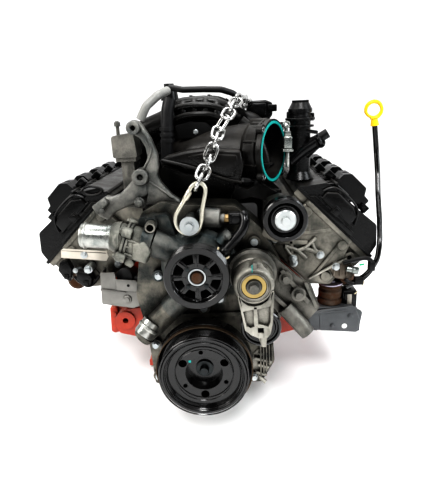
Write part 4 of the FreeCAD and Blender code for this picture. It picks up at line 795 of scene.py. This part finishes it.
def makeCoolantSensor():
    body = Piece("sensorBoss")
    body.rod(*sensorMaker["boss"], 19, 17.5, soft=2.4, segments=3)
    body.rod(*sensorMaker["shank"], 9, soft=1)
    body.bolt((54, -648, 262), (0.3, -0.9, 0.3), 11, 6)
    body.done("bracketCasting", replaced=["coolant_sensor"])
    hexes = Piece("sensorHex")
    hexes.rod((48, -621, 288), (58, -622, 288), 8.6, sides=6, soft=0.8)
    hexes.done("brass")
    plug = Piece("sensorPlug")
    plug.block((57, -632, 278), (82, -612, 300), 2.4, 3)
    plug.block((62, -634.5, 281), (78, -631, 297), 1.2)
    plug.rod((80, -622, 290), (86, -622, 284), 8, soft=1)
    plug.done("blackPlastic")
    pipe = Piece("sensorElbow")
    pipe.tube(sensorMaker["elbow"], 9.2, fine=5)
    pipe.rod((52, -651, 238), (46, -652.6, 231), 10.6, soft=1)
    pipe.done("glossRubber")
    clip = Piece("sensorElbowClip")
    clip.tube([(56, -656, 226), (50, -660, 221), (40, -658, 226), (34, -652, 236), (38, -650, 242)], 2.0,
        fine=2)
    clip.done("creamPlastic")


coverMaker = {"rail": 366.0, "front": -527.0}


def makeCoverDetail():
    # Trim of each valve cover, in its bank's own frame, and the filler loop beside one.
    for side, turn in banks.items():
        cover = Piece("valveCoverTrim" + side, turn)
        y, rail = coverMaker["front"], coverMaker["rail"]
        cover.plate([(-58, 369), (62, 369), (64, 373), (58, 381), (-52, 381), (-60, 373)], y - 9.4,
            y + 474, 2)
        cover.plate([(-40, 384), (44, 384), (40, 408), (20, 416), (-24, 416), (-42, 402)], y - 10, y - 2,
            3, 3)
        cover.tube([(-46, y - 7.5, 386), (-20, y - 8.6, 388), (20, y - 8.6, 388), (50, y - 7.5, 386)],
            1.8, fine=2)
        cover.tube([(-48, y - 6, 398), (-44, y - 6.4, 414), (-26, y - 6.4, 424), (24, y - 6.4, 424),
            (42, y - 6, 410), (50, y - 6, 392)], 2.2, fine=2)
        cover.block((-9, y - 13, 378), (9, y - 5, 396), 1.6)
        cover.block((-6, y - 15.5, 381), (6, y - 12, 393), 1)
        for k in range(5):
            at = y + 22 + 104 * k
            cover.block((61, at - 6, rail), (68, at + 6, 384), 1.4)
            cover.rod((64.5, at, 380), (64.5, at, 388), 4.2, sides=6, soft=0.5)
            cover.block((-66, at - 6, rail), (-60, at + 6, 384), 1.4)
        for k in range(17):
            at = y + 20 + 27 * k
            cover.tube([(-52, at, 404), (-40, at, 423), (-20, at + 2, 427), (4, at + 3, 427)], 2.4, fine=1)
        cover.tube([(-34, y + 4, 426.5), (-35, y + 240, 427), (-34, y + 468, 426.5)], 3.2, fine=2)
        cover.done("coverPlastic")
    loop = Piece("coverFillerLoop")
    loop.tube([(-250.1, -520, 333.1), (-236, -514, 340.5), (-216, -512, 338), (-203, -512, 330.5),
        (-215, -516, 322), (-237, -520, 321)], 2.6, closed=True)
    loop.plate([(-248, 322), (-240, 320), (-206, 328), (-214, 336), (-246, 330)], -512, -496, 2)
    loop.done("coverPlastic")


headMaker = {
    "front": -527.0,
    "ribs": [(16.5, 2.2, [(-30, 302), (-22, 298), (24, 352), (16, 356)]),
        (16.5, 2.2, [(62, 256), (70, 260), (58, 352), (50, 352)]),
        (18.5, 2.4, [(-48, 262), (-40, 256), (8, 300), (0, 306)]),
        (18.5, 2.4, [(-40, 304), (-48, 298), (-2, 254), (6, 260)]),
        (17, 2.2, [(-52, 252), (-42, 248), (-38, 312), (-48, 314)])]
}


def makeHeadFronts():
    # Raised casting, ribs and bolts on the front face of each head.
    for side, turn in banks.items():
        y = headMaker["front"]
        head = Piece("headFrontCasting" + side, turn)
        head.plate([(-60, 246), (-26, 242), (60, 242), (100, 262), (100, 300), (70, 362), (-58, 362)],
            y - 13.5, y + 2, 3.4, 3)
        head.plate([(-58, 356), (70, 356), (70, 366), (-58, 366)], y - 15, y + 2, 1.6)
        for rise, soft, outline in headMaker["ribs"]:
            head.plate(outline, y - rise, y - 10, soft)
        for t, s in ((-52, 262), (14, 252), (84, 276), (84, 306), (-44, 346), (60, 346)):
            head.turned([(0, 0), (11.5, 0), (11, 5), (9.5, 8), (0, 8.4)], (t, y - 10, s))
        for k in range(4):
            at = y + 70 + cylinderPitch * k
            for low in (-46, 39):
                head.plate([(97, 246), (104, 248), (104, 350), (97, 356)], at + low, at + low + 7, 1.6)
        head.done("aluminium")
        bolts = Piece("headFrontBolts" + side, turn)
        for t, s in ((-52, 262), (14, 252), (84, 306)):
            bolts.bolt((t, y - 18, s), across=12, height=6.5)
        bolts.done("boltSteel")


manifoldMaker = {"t": 148.0, "s": 296.0}


def makeExhaustDetail():
    for side, turn in banks.items():
        pipe = Piece("exhaustFlanges" + side, turn)
        t, s = manifoldMaker["t"], manifoldMaker["s"]
        for k in range(4):
            y = -457 + cylinderPitch * k
            pipe.turned([(0, 0), (33, 0), (34, 2), (34, 7), (32, 8), (0, 8)], (117.6, y, s), (1, 0, 0))
            pipe.turned([(24, 0), (24, 8), (21, 12), (19.6, 14), (0, 14)], (122, y, s), (1, 0, 0))
            for dy in (-27, 27):
                pipe.rod((124, y + dy, s + 6), (134, y + dy, s + 6), 7.4, sides=6, soft=0.8)
        for k in range(8):
            y = -440 + 56 * k
            pipe.turned([(22.4, 0), (23.6, 1.5), (23.6, 3.5), (22.4, 5)], (t, y, s), (0, 1, 0), 40)
        pipe.done("rustedIron")
    shield = Piece("exhaustCastingFront")
    shield.plate([(261, 156), (267, 163), (292, 168), (311, 162), (313, 134), (298, 126), (274, 130)],
        -545, -500, 3, 3)
    for x in (272, 285, 298):
        shield.plate([(x - 2, 136), (x + 2, 136), (x + 2, 162), (x - 2, 162)], -548, -540, 1.2)
    shield.done("brownCasting")
    tube = Piece("exhaustSensorTube")
    tube.rod((296, -550, 154), (320, -552, 148), 6.5, soft=1)
    tube.rod((308, -551, 151), (320, -552, 148), 8.5, sides=6, soft=0.9)
    tube.done("neckSteel")
    strap = Piece("exhaustHarness")
    strap.tube([(290, -548, 166), (312, -552, 173), (337, -552, 178), (350, -550, 166), (349, -548, 148),
        (334, -548, 130), (320, -548, 120), (304, -548, 119), (296, -546, 128)], 4.6)
    strap.block((314, -556, 118), (332, -542, 134), 2)
    strap.block((341, -556, 148), (354, -542, 168), 2)
    strap.done("blackPlastic")
    wire = Piece("exhaustSensorLead")
    wire.tube([(334, -550, 124), (330, -552, 112), (322, -552, 102), (316, -550, 96)], 1.1, fine=2)
    wire.done("creamPlastic")
    mark = Piece("headPaintMark")
    mark.block((322, -552, 160), (332, -550.6, 164), 0.4,
        turn=Euler((0, math.radians(-8), 0)).to_matrix().to_4x4())
    mark.done("greenMark")


mountMaker = {"x": 282.0, "y": -470.0, "low": 30.0}


def makeEngineMount():
    x, y, low = (mountMaker[k] for k in ("x", "y", "low"))
    body = Piece("engineMountBody")
    body.turned([(0, 0), (26, 0), (27, 2), (27, 8), (24.6, 10), (24.6, 12), (27.6, 14), (27.6, 24),
        (24, 26), (24, 28), (26.4, 30), (26.4, 44), (23, 47), (23, 51), (26, 53), (26, 58), (24, 59),
        (0, 59)], (x, y, low), (0, 0, 1))
    body.done("rustedIron", replaced=["engine_mount_driver"])
    cap = Piece("engineMountDisc")
    cap.turned([(0, 0), (26.6, 0), (27.6, 1), (27.6, 3.4), (26, 4.4), (14, 5), (10, 8), (0, 8.4)],
        (x, y, low + 59), (0, 0, 1))
    cap.rod((x, y, low + 66), (x, y, low + 69.6), 6, sides=6, soft=0.5)
    cap.done("lilacZinc")
    bracket = Piece("engineMountBracket")
    bracket.plate([(226, 24), (240, 34), (256, 38), (326, 46), (334, 40), (343, 12), (340, -14),
        (330, -19), (257, -14), (232, -2)], -506, -500.4, 2.2, 3)
    bracket.tube([(240, -505, 30), (262, -506, 32), (300, -506.6, 34), (328, -505, 38)], 2.6, fine=2)
    bracket.tube([(252, -505, 34), (256, -506, 12), (254, -505, -10)], 2.0, fine=2)
    bracket.block((250, -500, 36), (330, -442, 42), 1.8)
    bracket.bolt((322, -506.4, 22), across=9, height=4)
    bracket.bolt((282, -506.4, -2), across=8, height=3)
    bracket.done("bracketPaint")
    # Painted light: a thin pale disc on the bracket stands in for the lit backdrop seen through a hole.
    hole = Piece("engineMountHole")
    hole.rod((309, -507.0, -3.2), (309, -506.2, -3.2), 6.0, sides=24)
    hole.done("paleBacking")
    clip = Piece("engineMountClip")
    clip.block((308, -482, 31), (342, -446, 72), 4, 3)
    clip.block((312, -486, 36), (340, -470, 68), 2)
    clip.rod((324, -462, 68), (324, -462, 77), 9, soft=1)
    clip.done("blackPlastic", replaced=["mount_clip"])
    label = Piece("engineMountLabel")
    label.block((318, -487.2, 42), (328, -485.6, 66), 0.3)
    label.done("whitePaint")


duct = {"centre": (146, -500, 395), "angle": 61.0}


def makeIntakeDetail():
    # Ribs, lips, bosses, the apron under the duct and the small parts on the manifold.
    angle = math.radians(duct["angle"])
    outward = Vector((math.sin(angle), -math.cos(angle), 0))
    across = Vector((math.cos(angle), math.sin(angle), 0))
    centre = Vector(duct["centre"])
    body = Piece("intakeTrim")
    body.ring(centre + outward * 3.4, 63.2, 60.8, 3.2, outward, steps=72)
    body.ring(centre - outward * 14, 62.6, 58, 5, outward, steps=72)
    body.ring(centre - outward * 34, 60.4, 56, 4, outward, steps=72)
    for k in range(8):
        a = math.radians(45 * k + 22)
        spoke = across * math.cos(a) + Vector((0, 0, 1)) * math.sin(a)
        root = centre + spoke * 60
        body.rod(root - outward * 34, root + outward * 2, 2.4, 3.6, 12, 0.8)
    top = centre + Vector((0, 0, 57)) - outward * 6
    body.rod(top, top - outward * 38, 9, 8, soft=1.6)
    body.rod(top - across * 30 - Vector((0, 0, 11)),
        top - across * 28 - outward * 30 - Vector((0, 0, 12)), 7, 6, soft=1)
    body.plate([(-70, 394.7), (-60, 398), (-24.8, 406), (12.8, 410), (47.8, 407), (84, 404), (90, 376),
        (82, 341), (51.3, 345), (12.3, 362), (-26.3, 379.2), (-66, 383.8)], -552, -500, 5, 3)
    body.plate([(-20, 397), (12.8, 402), (46, 399), (76, 396), (78, 380), (70, 354), (50, 356),
        (14, 372)], -555, -548, 2.6)
    body.tube([(-70, -552, 391), (-24, -556, 381), (14, -556, 366), (52, -556, 349), (84, -552, 342)], 3.4)
    for line in ([(-74, -440, 478), (-52, -446, 486), (-20, -450, 492), (20, -450, 491), (52, -446, 480),
            (84, -440, 462)], [(-70, -448, 458), (-40, -454, 470), (0, -458, 474), (34, -452, 470),
            (60, -446, 454)]):
        body.tube(line, 7.0, fine=5)
    body.plate([(-84, 462), (-76, 486), (-58, 502), (-28, 509.5), (10, 511), (40, 507), (62, 496),
        (80, 478), (88, 458)], -436, -84, 12, 6)
    for x in (-58, -34, -10, 14, 38, 60):
        high = 494 - abs(x + 2) ** 2 * 0.0042
        body.tube([(x, -447, high - 18), (x, -446, high - 2), (x * 0.98, -432, high + 6),
            (x * 0.96, -400, high + 9), (x * 0.96, -360, high + 9)], 8, fine=5)
    for side in (-1, 1):
        for k in range(4):
            y = -444 + cylinderPitch * k + (0 if side > 0 else bankOffset)
            body.tube([(side * 84, y, 452), (side * 112, y, 430), (side * 134, y, 388),
                (side * 140, y, 350)], 17, fine=5)
            body.ring((side * 137, y, 366), 24, 14, 5, (side * 0.1, 0, -1))
            body.rod((side * 150, y + 34, 330), (side * 150, y + 34, 346), 8, soft=1)
    body.done("intakePlastic")
    # Painted shade: a near-black cone closed at its far end stands in for the shade deep inside the duct.
    ductShade = Piece("ductPaintedShade")
    ductShade.turned([(55.8, 8), (55.2, 20), (52.6, 42), (48.6, 64), (44.6, 86), (0, 92), (0, 94), (45.4, 88),
        (49.6, 64), (53.8, 42), (56.6, 20), (56.8, 8), (55.8, 8)], centre, -outward, 64)
    ductShade.done("deepBlack")
    # Painted shade: a near-black plate put where the recess under the dome lies in shade.
    recess = Piece("intakeRecess")
    recess.plate([(-52.7, 452), (-20.3, 459), (14, 456), (26.0, 443.4), (16.5, 430), (-22.9, 424),
        (-46.0, 424)], -462, -440, 3)
    recess.done("deepBlack")
    bolts = Piece("intakeBolts")
    for k in (1, 3, 5, 7):
        a = math.radians(45 * k)
        spoke = across * math.cos(a) + Vector((0, 0, 1)) * math.sin(a)
        bolts.ring(centre + spoke * 64.5 + outward * 5.4, 5.6, 3.5, 1.4, outward, 0.3, 24)
    for side in (-1, 1):
        for k in range(4):
            y = -410 + cylinderPitch * k + (0 if side > 0 else bankOffset)
            bolts.bolt((side * 150, y, 346), (0, 0, 1), 10, 6)
    bolts.bolt((-8, -458, 438), across=10, height=5)
    bolts.done("boltSteel")
    box = Piece("mapSensorBox")
    box.plate([(106, 496), (150, 497), (166, 490), (166, 462), (158, 452), (112, 452), (104, 462)], -322,
        -262, 4, 3)
    box.block((112, -330, 462), (150, -318, 490), 3)
    box.block((154, -326, 470), (176, -286, 486), 2.4)
    box.done("blackPlastic")
    taps = Piece("mapSensorTaps")
    for x in (124, 138, 152):
        taps.rod((x, -318, 452), (x, -318, 438), 4, 3.4, 16, 0.6)
        taps.rod((x, -318, 447), (x, -318, 443), 6, sides=6, soft=0.5)
    taps.done("brass")
    silver = Piece("throttleSideSensor")
    silver.block((171, -512, 399), (188, -492, 424), 2.4, 3)
    silver.block((173, -509, 424), (186, -494, 434), 1.6)
    silver.block((169, -514, 394), (190, -490, 399), 1.2)
    silver.ring((176, -502, 446), 7.2, 4.2, 6, (0.3, -1, 0.2))
    silver.rod((179, -501, 394), (180, -501, 362), 4.6, 3.8, soft=0.8)
    silver.rod((177, -500, 432), (177, -500, 442), 3.8, soft=0.6)
    silver.done("neckSteel")


ribMaker = {
    "y": -548.0, "radius": 3.2,
    "lines": [[(169.5, 206.4), (182.1, 201.5), (196.3, 196), (212.0, 201.5), (232.7, 222)],
        [(170, 204), (178.2, 191.0), (186.2, 181)], [(196.3, 196), (208.3, 184.5), (214, 178)],
        [(225.2, 212), (231.8, 196), (240, 188)], [(212, 200), (228, 194), (240, 187)]],
    "bolts": [(186.2, 178.9), (242.2, 184.7)]
}


def makeHeadRibs():
    ribs = Piece("headFrontRibs")
    y, radius = ribMaker["y"], ribMaker["radius"]
    for line in ribMaker["lines"]:
        ribs.tube([(x, y + 4, z) for x, z in line], radius, order=2)
        ribs.tube([(x, y + 6.5, z - 1.5) for x, z in line], radius + 1.6, order=2)
    for x, z in ribMaker["bolts"]:
        ribs.rod((x, y + 10, z), (x, y + 1, z), 10.5, 9.5, soft=1)
    ribs.plate([(217, 132), (221, 129), (275, 158), (300, 171), (297, 175), (270, 163)], y + 2, y + 12, 1.6)
    ribs.done("brightCasting")
    bolts = Piece("headRibBolts")
    for x, z in ribMaker["bolts"]:
        bolts.bolt((x, y + 1, z), across=11, height=6)
    bolts.done("boltSteel")


pulleyMaker = {"centre": (-2.1, 198.0), "front": -692.0, "windows": 8}


def makePumpPulley():
    x, z = pulleyMaker["centre"]
    y = pulleyMaker["front"]
    rim = Piece("pumpPulleyRim")
    groove = [(59 - (1.8 if k % 2 else 0), 3 + 1.8 * k) for k in range(13)]
    rim.turned([(46, 1), (47, 0), (57.6, 0), (59, 1.4)] + groove + [(59, 27), (58, 27.8), (47, 27.8),
        (46, 27), (46, 1)], (x, y, z), (0, 1, 0), 96)
    rim.ring((x, y + 11, z), 47, 42.6, 3, soft=0.8, steps=96)
    rim.ring((x, y + 11, z), 28, 15, 4, soft=1.2, steps=64)
    for k in range(pulleyMaker["windows"]):
        turn = Matrix.Translation((x, y + 7.6,
            z)) @ Matrix.Rotation(2 * math.pi * k / pulleyMaker["windows"], 4, "Y")
        rim.plate([(22, -7.5), (30, -5.0), (45, -6.4), (45, 6.4), (30, 5.0), (22, 7.5)], 0, 3, 0.8, 2, turn)
        rim.plate([(20, -2.2), (42, -1.2), (42, 1.2), (20, 2.2)], -2.2, 1, 0.8, 2, turn)
    rim.done("damperBlack", "water_pump_rotor", ["water_pump_pulley"])
    hub = Piece("pumpPulleyHub")
    hub.ring((x, y + 10, z), 18.5, 12.5, 3, soft=0.8)
    hub.done("boltSteel", "water_pump_rotor")
    nut = Piece("pumpPulleyNut")
    nut.rod((x, y + 12, z), (x, y + 3, z), 9.5, sides=6, soft=0.8)
    nut.ring((x, y + 12, z), 13, 9, 2.4, soft=0.5)
    nut.done("rustedIron", "water_pump_rotor")
    # Painted shade: a thin near-black ring behind the spokes makes the pulley windows read dark.
    back = Piece("pumpPulleyDark")
    back.ring((x, y + 27, z), 46, 22, 1, soft=0.2)
    back.done("deepBlack", "water_pump_rotor")
    spots = Piece("pumpPulleyBolts")
    for k in range(4):
        a = math.radians(45 + 90 * k)
        bx, bz = x + 23 * math.cos(a), z + 23 * math.sin(a)
        spots.rod((bx, y + 8, bz), (bx, y + 4.4, bz), 4.4, sides=6, soft=0.5)
    spots.done("darkSteel", "water_pump_rotor")


coilDetail = {"first": -457.0, "low": 424.0, "high": 444.0}


def makeCoilConnectors():
    for side, turn in banks.items():
        coils = Piece("coilConnectors" + side, turn)
        low, high = coilDetail["low"], coilDetail["high"]
        for k in range(4):
            y = coilDetail["first"] + cylinderPitch * k
            coils.block((46, y - 13, low), (72, y + 13, high - 4), 2.2, 3)
            coils.block((52, y - 16, low + 2), (62, y + 16, high - 8), 1.4)
            coils.block((-52, y - 9, low), (-30, y + 9, high - 4), 2.2)
            coils.block((-16, y - 20, high - 12), (14, y + 20, high), 3, 3)
            coils.rod((30, y - 20, high - 14), (30, y - 20, high - 3), 5.4, soft=0.8)
            coils.tube([(70, y, low + 6), (78, y + 18, low - 4), (74, y + 44, low - 10),
                (66, y + 72, low - 12), (62, y + 100, low - 6)] if k < 3 else [(70, y, low + 6),
                (76, y + 14, low - 6)], 4.2, fine=2)
        coils.done("coilPlastic")


def makeFillerArm():
    arm = Piece("fillerArmHose")
    arm.tube([(243.9, -476, 407.7), (223.4, -472, 394.9), (202.8, -468, 378.4), (190, -466, 366)], 10.5,
        fine=5)
    arm.ring((246, -478, 409), 13, 8.4, 7, (0.8, -0.2, 0.5), soft=1)
    arm.plate([(209, 428), (212, 436), (247, 430), (246, 423)], -470, -458, 2)
    arm.done("glossRubber")
    # Painted shade: a thin near-black disc in the hose mouth stands in for the shade inside it.
    mouth = Piece("fillerArmMouth")
    mouth.rod((250.5, -479.4, 412), (251.2, -479.6, 412.5), 8.6)
    mouth.done("deepBlack")
    collar = Piece("fillerCollar")
    collar.ring((212, -450, 438), 29, 25, 4, (0, 0, 1))
    collar.ring((212, -450, 452), 31, 24, 5, (0, 0, 1))
    collar.block((184, -456, 450), (192, -444, 470), 2)
    collar.block((232, -456, 450), (241, -444, 466), 2)
    collar.done("blackPlastic")
    ring = Piece("dipstickRing")
    ring.tube([(373 + 17.4 * math.cos(a), -420,
        467 + 17.0 * math.sin(a)) for a in [2 * math.pi * k / 16 for k in range(16)]], 3.0, closed=True)
    ring.done("yellowPlastic", "dipstick_blade")


orangeMaker = {"y": -482.0}


def makeBlockDetail():
    y = orangeMaker["y"]
    block = Piece("blockSideDetail")
    block.plate([(-233, 46), (-219, 49), (-214, 44), (-216, -18), (-228, -21), (-236, -16)], y, y + 60, 3,
        3)
    block.plate([(-222, 44), (-160, 47), (-156, 14), (-186, -21), (-222, -19)], y + 8, y + 60, 5, 3)
    block.plate([(-206, 30), (-184, 34), (-178, 8), (-200, -4), (-210, 8)], y + 1, y + 12, 3, 3)
    block.tube([(-216, y + 6, 16), (-196, y + 2, 20), (-172, y + 4, 12), (-160, y + 8, 18)], 4)
    block.plate([(-176, 44), (-168, 46), (-166, -2), (-176, -10)], y + 2, y + 12, 2)
    for x, z in ((-224, 30), (-224, -4)):
        block.rod((x, y + 2, z), (x, y - 3, z), 6.4, soft=1)
    block.done("blockPaint")
    bolts = Piece("blockSideBolts")
    bolts.bolt((-190, y + 1, -6), across=11, height=6)
    bolts.bolt((-171, y + 2, 30), across=10, height=6)
    bolts.done("darkSteel")
    strip = Piece("blockFrontStrip")
    strip.plate([(132, 196), (140, 192), (172, 158), (196, 130), (188, 124), (160, 150), (128, 184)],
        -536, -528, 2)
    strip.plate([(104, -2), (128, 6), (132, -34), (120, -52), (106, -40)], -536, -500, 3)
    strip.done("blockPaint")
    fins = Piece("frontCastingFins")
    fins.plate([(96, -8), (108, 4), (122, -4), (132, -34), (126, -58), (110, -72), (92, -66)], -602, -560,
        4, 3)
    for x, z, w in ((100, -14, 26), (108, -30, 22), (102, -48, 24)):
        fins.plate([(x, z), (x + w, z - 8), (x + w - 2, z - 14), (x - 2, z - 7)], -609, -598, 1.6)
    fins.rod((104, -602, -60), (122, -614, -72), 4.4, soft=0.6)
    fins.rod((120, -600, -24), (134, -602, -33), 5.2, soft=0.8)
    fins.bolt((114, -602, -9), across=9, height=5)
    fins.done("brightCasting")
    inlet = Piece("lowerInletEnd")
    start, end = Vector((-121, -640, 62)), Vector((-88, -622, 100))
    along = (end - start).normalized()
    inlet.turned([(15, 0), (19, 0), (19.6, 2), (19.6, 14), (21.4, 16), (21.4, 20), (19.4, 22), (19.4, 32),
        (15, 32), (15, 0)], start, along)
    inlet.done("neckSteel")


def dressNodes():
    for finishName, members in wears.items():
        for member in members:
            node = nodes[member]
            node.data.materials.clear()
            node.data.materials.append(finishes[finishName])
    bare = sorted(set(nodes) - {m for members in wears.values() for m in members})
    print("nodes dressed, left over:", bare)


def makeFloor():
    low = cadBox[0][2]
    for name, size, spot, turn in (("floor", 60, (0, 0, low), (0, 0, 0)),
            ("backdrop", 60, (0, 14, low), (math.radians(90), 0, 0))):
        bm = bmesh.new()
        bmesh.ops.create_grid(bm, x_segments=1, y_segments=1, size=size,
            matrix=Matrix.Translation(spot) @ Euler(turn).to_matrix().to_4x4())
        mesh = bpy.data.meshes.new(name)
        bm.to_mesh(mesh)
        bm.free()
        piece = bpy.data.objects.new(name, mesh)
        bpy.context.scene.collection.objects.link(piece)
        paper = bpy.data.materials.new(name + "Paper")
        paper.use_nodes = True
        sockets = paper.node_tree.nodes["Principled BSDF"].inputs
        for key, value in (("Base Color", (0.9, 0.9, 0.9, 1)), ("Roughness", 1.0),
                ("Specular IOR Level", 0.0)):
            sockets[key].default_value = value
        mesh.materials.append(paper)


placeCamera()
placeLights()
dressNodes()
makers = (makeTensionerArm, makeDamperDetail, makeSnapLink, makeChain, makeThermostat,
    makeAccessoryBracket, makeStampedBracket, makeStrap, makeCoolantSensor, makeCoverDetail,
    makeHeadFronts, makeExhaustDetail, makeEngineMount, makeIntakeDetail, makeHeadRibs, makePumpPulley,
    makeCoilConnectors, makeFillerArm, makeBlockDetail)
for make in makers:
    make()
    print("made", make.__name__)
makeFloor()
